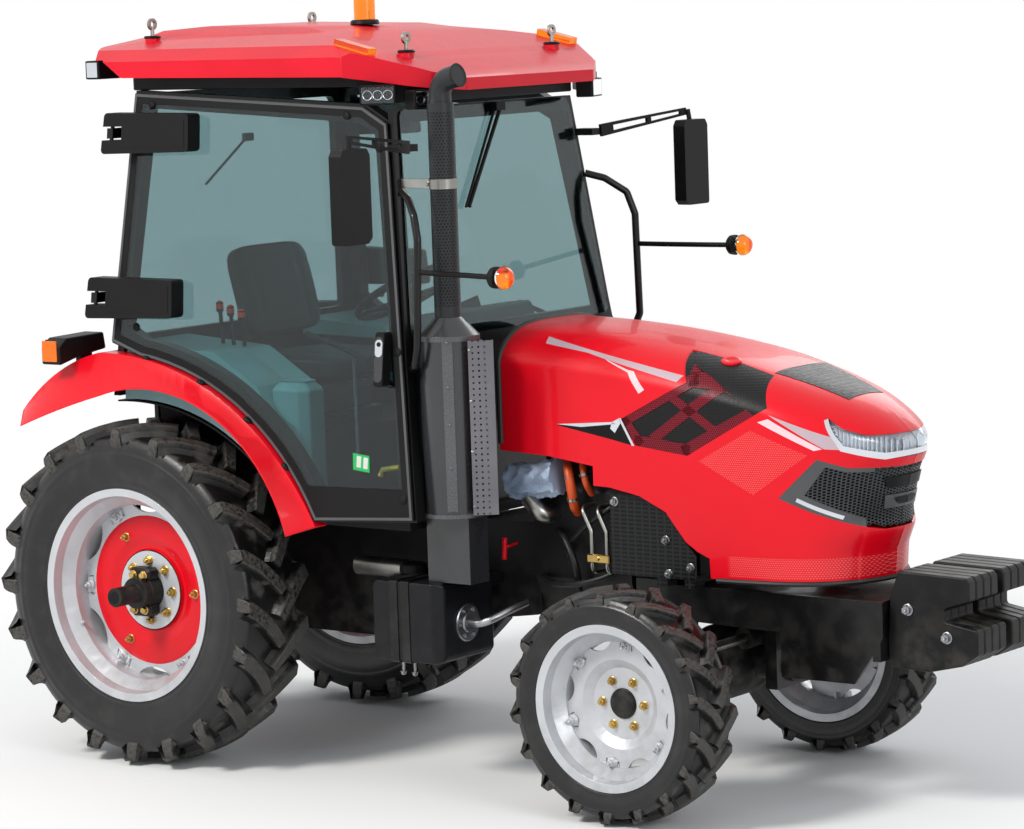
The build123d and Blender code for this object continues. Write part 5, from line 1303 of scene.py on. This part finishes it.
# Lighter grey of the silencer's seam and end rings: a painted highlight, not a paint of their own.
SEAM_HIGHLIGHT = finish("silencer_seam", srgb(74, 75, 78), srgb(66, 67, 70), shine=0.7, dust=0.02, gloss=0.26,
              grain=220, relief=0.0)
SHEET = finish("shield_sheet", srgb(104, 104, 108), srgb(92, 92, 96), shine=0.5, dust=0.06, gloss=0.4,
               grain=240, relief=0.03)
dress(SILENCER, "muffler")
bpy.data.objects["muffler_soft"].data.materials[0] = SILENCER
exhaust_fittings()
WRAP = finish("heat_wrap", srgb(176, 192, 214), srgb(140, 158, 184), metal=0.25, dust=0.04, gloss=0.5,
              grain=260, relief=0.35)
ORANGE = finish("orange_hose", srgb(206, 78, 26), srgb(184, 66, 22), dust=0.12, gloss=0.42, grain=400,
                relief=0.1)
HOSE = finish("black_hose", srgb(14, 14, 15), srgb(22, 22, 23), shine=0.3, dust=0.15, gloss=0.4, grain=500,
              relief=0.15)
LABEL = finish("blank_label", srgb(206, 206, 200), srgb(190, 190, 184), dust=0.2, gloss=0.4, grain=300,
               relief=0.03)


def hose(points, radius, sides=14):
    """Tube on a smooth curve through points given in millimetres."""
    return swept(catmull([mm(*p) for p in points], 14), radius, sides)


def crumpled(points, radius, folds, depth):
    """Tube whose skin is pressed in by the sum of several slanted waves: wave k is
    |sin(point . direction + start)| / (1 + k / 2), and the deepest fold goes in by depth."""
    verts, faces = hose(points, radius, 46)
    rng = np.random.default_rng(7)
    spine = np.repeat(verts.reshape(-1, 46, 3).mean(1), 46, axis=0)
    pressed = np.zeros(len(verts))
    for k in range(folds):
        wave = rng.normal(size=3)
        wave *= (60 + 34 * k) / np.linalg.norm(wave)
        pressed += np.abs(np.sin(verts @ wave + rng.uniform(0, 6))) / (1 + 0.5 * k)
    out = verts - spine
    out /= np.linalg.norm(out, axis=1)[:, None]
    return verts - out * (pressed / pressed.max())[:, None] * depth, faces


def engine_side():
    """Wrapped turbo pipe, silicone and rubber hoses with clamps, a brass pipe clamp and the dipstick's
    red handle."""
    wrap = crumpled([(1352, -258, 1030), (1450, -262, 1038), (1548, -262, 1058)], 0.078, 7, 0.026)
    piece("heat_wrap", [wrap], WRAP, "chassis", smooth=24)
    piece("coolant_hoses", [hose([(1560, -232, 1100), (1592, -272, 1080), (1612, -286, 1020),
                                  (1604, -262, 960), (1590, -222, 930)], 0.016),
                            hose([(1622, -226, 1110), (1650, -268, 1096), (1668, -276, 1040),
                                  (1664, -240, 1000)], 0.012)],
          ORANGE, "chassis")
    clamps = []
    for at, axis in (((1600, -279, 1056), (0.3, -0.2, -1)), ((1609, -278, 985), (-0.1, 0.3, -1)),
                     ((1661, -275, 1068), (0.3, -0.1, -1))):
        clamps.append(moved(lathe([(0, -0.005), (0.0185, -0.005), (0.0185, 0.005), (0, 0.005)], 20),
                            mm(*at), turn_to(axis)))
    piece("hose_clamps", clamps, STEEL, "chassis")
    piece("black_hoses", [hose([(1440, -226, 700), (1520, -270, 688), (1640, -290, 700), (1740, -268, 730),
                                (1790, -222, 770)], 0.011),
                          hose([(1772, -222, 980), (1738, -262, 950), (1640, -272, 880), (1570, -250, 820),
                                (1540, -222, 780)], 0.009),
                          hose([(1500, -224, 860), (1560, -262, 840), (1610, -276, 760), (1600, -240, 650)],
                               0.013)],
          HOSE, "chassis")
    piece("pipe_clamp", [moved(chamfered(0.092, 0.026, 0.03), mm(1721, -285, 790)),
                         moved(hex_bolt(0.01, 0.006), mm(1721, -298, 790), turn_to((0, -1, 0)))], BRASS,
          "chassis")
    handle = [swept(np.linspace(mm(1340, -240, 812), mm(1356, -332, 808), 6), 0.005),
              swept(np.linspace(mm(1355, -334, 770), mm(1358, -332, 844), 8), 0.0088)]
    piece("dip_handle", handle, RED, "chassis")


def slotted():
    """Black enamel with rows of short slots: 30 mm by 14 mm cells, each open over its middle."""
    mat, tree, body = new_material("slotted_guard")
    xyz = add_node(tree, "SeparateXYZ", {0: add_node(tree, "TexCoord").outputs["Object"]}).outputs
    open_part = 1.0
    for value, step, share in ((xyz["X"], 0.03, 0.36), (xyz["Z"], 0.014, 0.27)):
        turn = calc(tree, "FRACT", calc(tree, "DIVIDE", value, step))
        gap = calc(tree, "ABSOLUTE", calc(tree, "SUBTRACT", turn, 0.5))
        within = calc(tree, "SUBTRACT", 1.0, ramp(tree, gap, share, share + 0.05))
        open_part = calc(tree, "MULTIPLY", open_part, within)
    body.inputs["Specular IOR Level"].default_value = 0.25
    body.inputs["Roughness"].default_value = 0.36
    tree.links.new(mix_colour(tree, open_part, srgb(30, 31, 32), srgb(1, 1, 1)), body.inputs["Base Color"])
    bump = add_node(tree, "Bump", {"Height": calc(tree, "SUBTRACT", 1.0, open_part), "Strength": 0.8,
                                   "Distance": 0.002})
    tree.links.new(bump.outputs[0], body.inputs["Normal"])
    return mat


dress(slotted(), "side_guards")
engine_side()


def band_over(path_yz, x0, x1, thick=0.003):
    """Flat strap between x0 and x1 bent along a path of (y, z) in millimetres."""
    path = np.asarray(path_yz, float)
    run = np.gradient(path, axis=0)
    out = np.stack([-run[:, 1], run[:, 0]], -1) / np.linalg.norm(run, axis=1)[:, None]
    ring = np.vstack([path, (path + out * thick * 1000)[::-1]])
    verts, faces = extruded(ring * 0.001, x0 * 0.001 + REAR_X, x1 * 0.001 + REAR_X)
    return verts[:, [2, 0, 1]], faces


def tank_fittings():
    """Two steel straps with their tension rods, the filler cap, flange and pipe, a fuel filter with its
    blank label, and the steel air cylinder above the tank."""
    corner = [(-590 - 13 * math.sin(a), 708 + 13 * math.cos(a)) for a in np.linspace(0, math.pi / 2, 6)]
    under = [(-590 - 13 * math.cos(a), 448 - 13 * math.sin(a)) for a in np.linspace(0, math.pi / 2, 6)]
    straps, rods = [], []
    for x in (1062, 1112):
        straps.append(band_over([(-304, 721)] + corner + under + [(-304, 435)], x, x + 34))
        rods.append(swept(np.linspace(mm(x + 17, -560, 434), mm(x + 17, -560, 386), 4), 0.005))
        rods.append(moved(hex_bolt(0.016, 0.01), mm(x + 17, -560, 400), turn_to((0, 0, -1))))
    piece("tank_straps", straps, ENAMEL, "chassis")
    piece("strap_rods", rods, ZINC, "chassis")
    cap = lathe([(0, 0), (0.047, 0), (0.049, 0.004), (0.047, 0.03), (0.042, 0.034), (0, 0.034)], 30)
    piece("tank_cap", [moved(cap, mm(1034, -430, 716))], PLASTIC, "chassis")
    face = turn_to((1, 0, 0))
    flange = moved(lathe([(0, 0), (0.065, 0), (0.065, 0.008), (0.061, 0.011), (0.034, 0.011), (0.03, 0.016),
                          (0, 0.016)], 36), mm(1275.4, -455, 566), face)
    bolts = [moved(hex_bolt(0.011, 0.007), mm(1286, -455 + 48 * math.cos(k * math.pi / 3),
                                              566 + 48 * math.sin(k * math.pi / 3)), face)
             for k in range(6)]
    pipe = hose([(1288, -455, 566), (1330, -455, 566), (1372, -440, 580), (1402, -380, 604),
                 (1418, -300, 622)], 0.014)
    piece("tank_flange", [flange] + bolts + [pipe], ZINC, "chassis")
    filter_at = mm(930, -420, 560)
    piece("fuel_filter", [moved(lathe([(0, -0.075), (0.036, -0.075), (0.044, -0.062), (0.044, 0.07),
                                       (0.05, 0.074), (0.05, 0.09), (0, 0.09)], 30), filter_at),
                          moved(chamfered(0.07, 0.14, 0.03), mm(930, -350, 655))], PLASTIC, "chassis")
    sleeve = lathe([(0.0438, -0.03), (0.0446, -0.03), (0.0446, 0.03), (0.0438, 0.03)], 30)
    piece("filter_label", [moved(sleeve, filter_at)], LABEL, "chassis")
    piece("air_cylinder", [swept(np.linspace(mm(976, -370, 716), mm(742, -370, 716), 6), 0.034, 26)], STEEL,
          "chassis")


tank_fittings()

# ---------------------------------------------------------------- cab glass, seat and fittings
# Printed borders, seals and edge trims of the doors with a blank label each, their hinge panels,
# handles, inner bars and latches, then the stitched seat, lever knobs, the consoles' front ends, the
# dash screen and the wiper on the rear glass.


def on_side(x, z, out):
    """Point standing out from the right side plane by a distance in millimetres."""
    return mm(x, -884.6 + 0.0722 * x + 0.1262 * z - out, z)


def inset(ring, depth):
    """Outline moved inwards by a depth, with mitred corners; the outline runs either way round."""
    ring = np.asarray(ring, float)
    area = 0.5 * np.sum(ring[:, 0] * np.roll(ring[:, 1], -1) - np.roll(ring[:, 0], -1) * ring[:, 1])
    ahead = np.roll(ring, -1, 0) - ring
    ahead /= np.linalg.norm(ahead, axis=1)[:, None]
    left = np.stack([-ahead[:, 1], ahead[:, 0]], -1) * np.sign(area)
    before = np.roll(left, 1, 0)
    return ring + (left + before) * depth / (1 + np.sum(left * before, -1))[:, None]


def side_plate(name, ring, out, thick, material, bodies, hole=None, smooth=30):
    """Flat plate on the cab's side plane, solid or open inside a second outline, on both sides."""
    loops = [ring] if hole is None else [ring, hole]
    n = len(ring)
    verts = np.array([on_side(x, z, o) for o in (out, out + thick) for loop in loops for x, z in loop])
    i = np.arange(n)
    j = (i + 1) % n
    if hole is None:
        faces = [np.stack([i, j, j + n, i + n], -1), i[None, ::-1], (i + n)[None]]
    else:
        faces = [np.stack(corners, -1) for corners in (
            [i, j, j + 2 * n, i + 2 * n], [i + n, i + 3 * n, j + 3 * n, j + n],
            [i, i + n, j + n, j], [i + 2 * n, j + 2 * n, j + 3 * n, i + 3 * n])]
    for body, flip in zip(bodies, (False, True)):
        part = mirrored((verts, faces)) if flip else (verts, faces)
        obj = piece(f"{name}_{'left' if flip else 'right'}", [part], material, body, smooth=smooth)
        consistent(obj.data)


DOORS = ("door_right", "door_left")
arc = [(-104 + 1079 * math.cos(a), 398 + 1079 * math.sin(a)) for a in np.linspace(0.513, 1.424, 16)]
DOOR = [(-13, 2372), (962, 2314), (1061, 2258), (1232, 946), (860, 929)] + arc + [(-74, 1512)]
GREEN = finish("green_label", srgb(16, 168, 84), srgb(14, 156, 76), gloss=0.4, grain=300, relief=0.02)
YELLOW = finish("yellow_latch", srgb(214, 176, 52), srgb(200, 160, 44), gloss=0.42, grain=300, relief=0.03)
side_plate("door_print", inset(DOOR, 3), 0.1, 0.5, PLASTIC, DOORS, hole=inset(DOOR, 30))
side_plate("door_seal", inset(DOOR, -5), -5.5, 5, SEAL, DOORS, hole=inset(DOOR, 1))
side_plate("door_band", [(1214, 1044), (1226, 953), (864, 936), (842, 934), (806, 985), (768, 1040)], 0.2,
           0.55, PLASTIC, DOORS)
side_plate("door_edge", inset(DOOR, -3), 0.7, 1.6, GREY_TRIM, DOORS, hole=inset(DOOR, 6))
side_plate("door_label", [(982, 1158), (1050, 1150), (1054, 1094), (986, 1102)], 0.2, 0.3, GREEN, DOORS)
for mark, (x, z) in (("a", (1008, 1129)), ("b", (1036, 1125))):
    side_plate(f"label_field_{mark}", [(x - 9, z + 20), (x + 9, z + 18), (x + 9, z - 20), (x - 9, z - 18)],
               0.55, 0.2, LABEL, DOORS)
for row, z in enumerate((2240, 1665)):
    rear = -45 - 0.0744 * (2400 - z)
    panel = [(rear + 52, z - 50), (rear + 50, z + 52), (rear + 312, z + 46), (rear + 318, z - 48)]
    side_plate(f"hinge_panel_{row}", panel, 61.6, 2.4, PLASTIC, DOORS, smooth=20)
turns = np.linspace(0, 2 * math.pi, 24, endpoint=False)
grip = [(1104 + 17 * math.cos(a), 1478 + 74 * math.copysign(1, math.sin(a)) * 0.78 + 17 * math.sin(a) * 1.1)
        for a in turns]
side_plate("handle_grip", grip, 39.6, 4.2, SILENCER, DOORS)
cap = [(1104 + 15 * math.cos(a), 1516 + 15 * math.copysign(1, math.sin(a)) + 14 * math.sin(a)) for a in turns]
side_plate("handle_trim", cap, 43.8, 1.6, CHROME, DOORS)
side_plate("handle_lock", [(1104 + 8 * math.cos(a), 1529 + 8 * math.sin(a)) for a in turns], 45.4, 1.2,
           PLASTIC, DOORS)
inner = {"door_bar": ([on_side(745, 1552, -32), on_side(870, 1512, -34), on_side(1010, 1466, -32)], 0.009,
                      PLASTIC),
         "door_rod": ([on_side(948, 1470, -30), on_side(966, 1310, -30), on_side(985, 1150, -26)], 0.006,
                      GREY_TRIM),
         "door_latch": ([on_side(1088, 1082, -14), on_side(1096, 1104, -16), on_side(1166, 1116, -14)],
                        0.009, YELLOW)}
for name, (path, radius, material) in inner.items():
    bar = swept(np.array(path), radius, 12)
    for body, part in (("door_right", bar), ("door_left", mirrored(bar))):
        piece(f"{name}_{body[5:]}", [part], material, body)
for k, (x, z) in enumerate(((60, 2336), (900, 2290), (30, 1560), (1150, 1500), (1040, 2180), (1195, 1010))):
    dome = lathe([(0, 0), (0.015, 0), (0.015, 0.003), (0.011, 0.006), (0, 0.007)], 20)
    right = moved(dome, on_side(x, z, 0.2), turn_to((0.0722, -1, 0.1262)))
    for body, part in (("door_right", right), ("door_left", mirrored(right))):
        piece(f"glass_bolt_{k}_{body}", [part], PLASTIC, body)


def pillow(centre, half, power, swell, turn=None, seams=()):
    """Cushion on a cube grid: each point is pulled onto |x|^p + |y|^p + |z|^p = 1 and scaled to the half
    sizes. Its upper face is crowned by swell * cos(1.4 x) * cos(1.4 y) and pressed in by 6 mm along
    each seam (axis, place); a fifth of the crown goes to its lower face."""
    n = 22
    line = np.linspace(-1, 1, n)
    sheets, faces = [], []
    for axis in range(3):
        for side in (-1, 1):
            u, v = np.meshgrid(line, line, indexing="ij")
            face = np.insert(np.stack([u, v], -1), axis, float(side), axis=-1)
            faces.append(grid_faces(n, n)[:, ::side if axis != 1 else -side] + len(sheets) * n * n)
            sheets.append(face.reshape(-1, 3))
    point = np.vstack(sheets)
    point = point / (np.abs(point) ** power).sum(1)[:, None] ** (1 / power)
    crown = swell * np.cos(point[:, 0] * 1.4) * np.cos(point[:, 1] * 1.4) * np.sign(point[:, 2])
    crown = crown * (np.abs(point[:, 2]) > 0.5)
    place = point * np.asarray(half)
    press = sum((np.exp(-((place[:, axis] - at) / 0.007) ** 2) for axis, at in seams), np.zeros(len(place)))
    place[:, 2] += (crown - 0.006 * press * (point[:, 2] > 0.5)) * np.where(point[:, 2] > 0, 1, 0.2)
    return moved((place, faces), centre, turn)


def seat_pads():
    """Sprung cushion and backrest with sewn channels; the backrest leans back by 15 degrees."""
    lean = math.radians(75)
    upright = np.array([[math.cos(lean), 0, math.sin(lean)], [0, 1, 0], [-math.sin(lean), 0, math.cos(lean)]])
    made = (("seat_pad", pillow(mm(322, 0, 1376), (0.222, 0.226, 0.044), 6, 0.010,
                                seams=((1, -0.135), (1, 0.135), (0, -0.11), (0, 0.02))), 0.7),
            ("back_pad", pillow(mm(84, 0, 1640), (0.166, 0.204, 0.03), 6, 0.010, turn=upright,
                                seams=((1, -0.125), (1, 0.125), (0, -0.08), (0, 0.06))), 0.65))
    for name, part, fill in made:
        obj = piece(name, [part], VINYL, "chassis", smooth=60,
                    replaced=("seat_cushions",) if name == "seat_pad" else ())
        consistent(obj.data)
        soft = obj.modifiers.new("soft", "SUBSURF")
        soft.levels = soft.render_levels = 1


seat_pads()
KNOB = finish("orange_knob", srgb(222, 62, 24), srgb(206, 54, 20), coat=0.2, dust=0.03, gloss=0.4,
              grain=500, relief=0.03)
knob = lathe([(0, 0), (0.012, 0.002), (0.0145, 0.014), (0.0125, 0.03), (0.006, 0.036), (0, 0.037)], 18)
piece("lever_knobs", [moved(knob, mm(x - 10, -420, 1470 + (330 - x) * 0.077 + tall - 12)) for x, tall in
                      ((200, 130), (250, 120), (300, 110))], KNOB, "chassis")


def cab_small_parts():
    """Rear wiper, the consoles' rounded front ends and the screen on the dash."""
    back = mm(-70, 60, 2190)
    arm = [swept(np.linspace(back, mm(-77, -170, 2030), 6), 0.005, 8),
           moved(chamfered(0.02, 0.05, 0.03), back + [0.004, 0, 0])]
    piece("rear_wiper", arm, PLASTIC, "chassis")
    foot = moved(chamfered(0.17, 0.138, 0.43, 0.22), mm(612, -506, 1160))
    piece("console_feet", [foot, mirrored(foot)], TEAL, "chassis", smooth=40, bevel=0.008)
    screen = moved(chamfered(0.006, 0.24, 0.11, 0.2), mm(925, 0, 1542), turn_to((-0.35, 0, 0.94)))
    piece("dash_cluster", [screen], PLASTIC, "chassis")


cab_small_parts()

# ---------------------------------------------------------------- roof, lamps, mirrors and weights
# Collars under the lifting eyes, beacon base, work lamps with three emitters each, split turn
# signals, mirror glass, fender caps, the rear lamps' red and amber lenses, and the bolts of the
# engine's side guards and of the front weights.


def roof_parts():
    """Black collars below the lifting eyes, and the beacon's base."""
    collar = lathe([(0, 0.0), (0.03, 0.0), (0.031, 0.004), (0.027, 0.009), (0, 0.009)], 26)
    places = [(x, s * y, z) for x, y, z in ((1075, 414, 2496), (-56, 441, 2566)) for s in (-1, 1)]
    piece("eye_collars", [moved(collar, mm(x, y, z + 0.3)) for x, y, z in places], PLASTIC, "chassis")
    base = lathe([(0, 0), (0.05, 0), (0.052, 0.004), (0.05, 0.014), (0.044, 0.018), (0, 0.018)], 36)
    piece("beacon_base", [moved(base, mm(560, 0, 2589))], PLASTIC, "chassis")


roof_parts()


def lamp_faces():
    """Bezel, three bright bowls and a clear cover on each work lamp; its face looks along its turn."""
    bezels, bowls, covers = [], [], []
    for x, y, z, turn in ((1085, 590, 2360.6, 50), (1190, 470, 2340.2, 20), (-165, 585, 2462.6, 180)):
        a = math.radians(-turn)
        ahead, across = np.array([math.cos(a), math.sin(a), 0]), np.array([-math.sin(a), math.cos(a), 0])
        frame = np.stack([ahead, across, [0, 0, 1]], -1)
        front = mm(x, -y, z) + ahead * 0.031
        for s in (-1, 1):
            bezels.append(moved(chamfered(0.004, 0.114, 0.006), front + [0, 0, s * 0.029], frame))
            bezels.append(moved(chamfered(0.004, 0.006, 0.062), front + across * s * 0.055, frame))
        for k in (-1, 0, 1):
            bowl = lathe([(0, -0.004), (0.006, -0.0035), (0.012, -0.001), (0.0155, 0.002), (0.0165, 0.002),
                          (0.0165, -0.001), (0, -0.005)], 24)
            bowls.append(moved(bowl, front + across * k * 0.034, turn_to(ahead)))
        covers.append(moved(chamfered(0.0016, 0.106, 0.054), front + ahead * 0.002, frame))
    for name, parts, material, slot in (("lamp_bezels", bezels, PLASTIC, "black_plastic"),
                                        ("lamp_bowls", bowls, CHROME, "lamp_lens"),
                                        ("lamp_covers", covers, CRYSTAL, "lamp_lens")):
        piece(name, parts + [mirrored(p) for p in parts], material, "chassis")


lamp_faces()


def split_signals():
    """Black stalk and cup with a globe that is clear beside the cup and amber at its tip."""
    stalk = hose([(1277, -632, 1772), (1360, -642, 1771), (1450, -655, 1770), (1540, -672, 1769),
                  (1628, -692, 1768)], 0.009)
    ahead = turn_to((1, 0, 0))
    cup = moved(lathe([(0, -0.02), (0.026, -0.02), (0.034, -0.012), (0.036, 0.0), (0.036, 0.008),
                       (0, 0.008)], 28), mm(1640, -698, 1768), ahead)
    angle = np.linspace(0, math.pi / 2, 9)[:-1]
    rear = [(0.038 * math.cos(a), -0.038 * math.sin(a) * 0.62) for a in angle]
    rear = lathe([(0, -0.0)] + rear + [(0, -0.0235)], 30)
    front = [(0.038 * math.cos(a), 0.0005 + 0.037 * math.sin(a)) for a in angle]
    front = lathe([(0, 0.0005)] + front + [(0, 0.0375)], 30)
    at = mm(1672, -702, 1768)
    for name, part, material, slot in (("signal_stalks", merged([stalk, cup]), PLASTIC, "black_plastic"),
                                       ("signal_clear", moved(rear, at, ahead), CRYSTAL, "lamp_lens"),
                                       ("signal_amber", moved(front, at, ahead), AMBER, "amber_lens")):
        piece(name, [part, mirrored(part)], material, "chassis",
              replaced=("turn_signals",) if name == "signal_stalks" else ())


split_signals()


def small_sheet_parts():
    """Mirror glass, the caps along the fenders' inner edges, the lenses of the rear and rear side lamps,
    and the bolts of the side guards and the weights."""
    glass = moved(chamfered(0.002, 0.128, 0.27, 0.3), mm(1249.4, -980, 2044))
    piece("mirror_glass", [glass, mirrored(glass)], CHROME, "chassis")
    dome = lathe([(0, -0.002), (0.017, -0.002), (0.017, 0.003), (0.012, 0.009), (0, 0.011)], 20)
    caps = []
    for a in np.radians((80, 66, 53, 41, 30)):
        out = np.array([math.cos(a), 0, math.sin(a)])
        caps.append(moved(dome, mm(-104 + 1069 * math.cos(a), -694, 398 + 1069 * math.sin(a)), turn_to(out)))
    caps = merged(caps)
    piece("fender_caps", [caps, mirrored(caps)], PLASTIC, "chassis")
    lens = [moved(chamfered(0.006, 0.07, 0.046, 0.3), mm(-331.5, y, 1490)) for y in (-742, -612)]
    amber = moved(chamfered(0.006, 0.052, 0.046, 0.3), mm(-331.5, -678, 1490))
    piece("tail_lenses", lens + [mirrored(p) for p in lens], REDLENS, "chassis")
    end = moved(chamfered(0.07, 0.006, 0.074, 0.3), mm(-288, -801.5, 1475))
    piece("tail_amber", [amber, mirrored(amber), end, mirrored(end)], AMBERLENS, "chassis")
    side_lens = moved(chamfered(0.05, 0.004, 0.052, 0.3), mm(-165, -645.4, 2462.6))
    piece("side_lamp_lens", [side_lens, mirrored(side_lens)], CHROME, "chassis")
    plates = [moved(hex_bolt(0.021, 0.012, stud=0.006), mm(x, -300.2, z), turn_to((0, -1, 0)))
              for x, z in ((2012, 760), (2100, 786), (2004, 872), (1800, 990))]
    piece("guard_bolts", plates + [mirrored(b) for b in plates], ZINC, "chassis")
    bolts = [moved(hex_bolt(0.026, 0.016, stud=0.01), mm(x, -205.6, z), turn_to((0, -1, 0)))
             for x, z in ((2868, 690), (3010, 610))]
    piece("weight_bolts", bolts + [mirrored(b) for b in bolts], ZINC, "chassis")


REDLENS = finish("red_lens", srgb(188, 8, 14), srgb(170, 6, 12), shine=0.4, dust=0.04, gloss=0.3, grain=300,
                 relief=0.02)
AMBERLENS = finish("amber_reflector", srgb(236, 112, 12), srgb(220, 98, 10), shine=0.4, dust=0.04,
                   gloss=0.3, grain=300, relief=0.02)
small_sheet_parts()
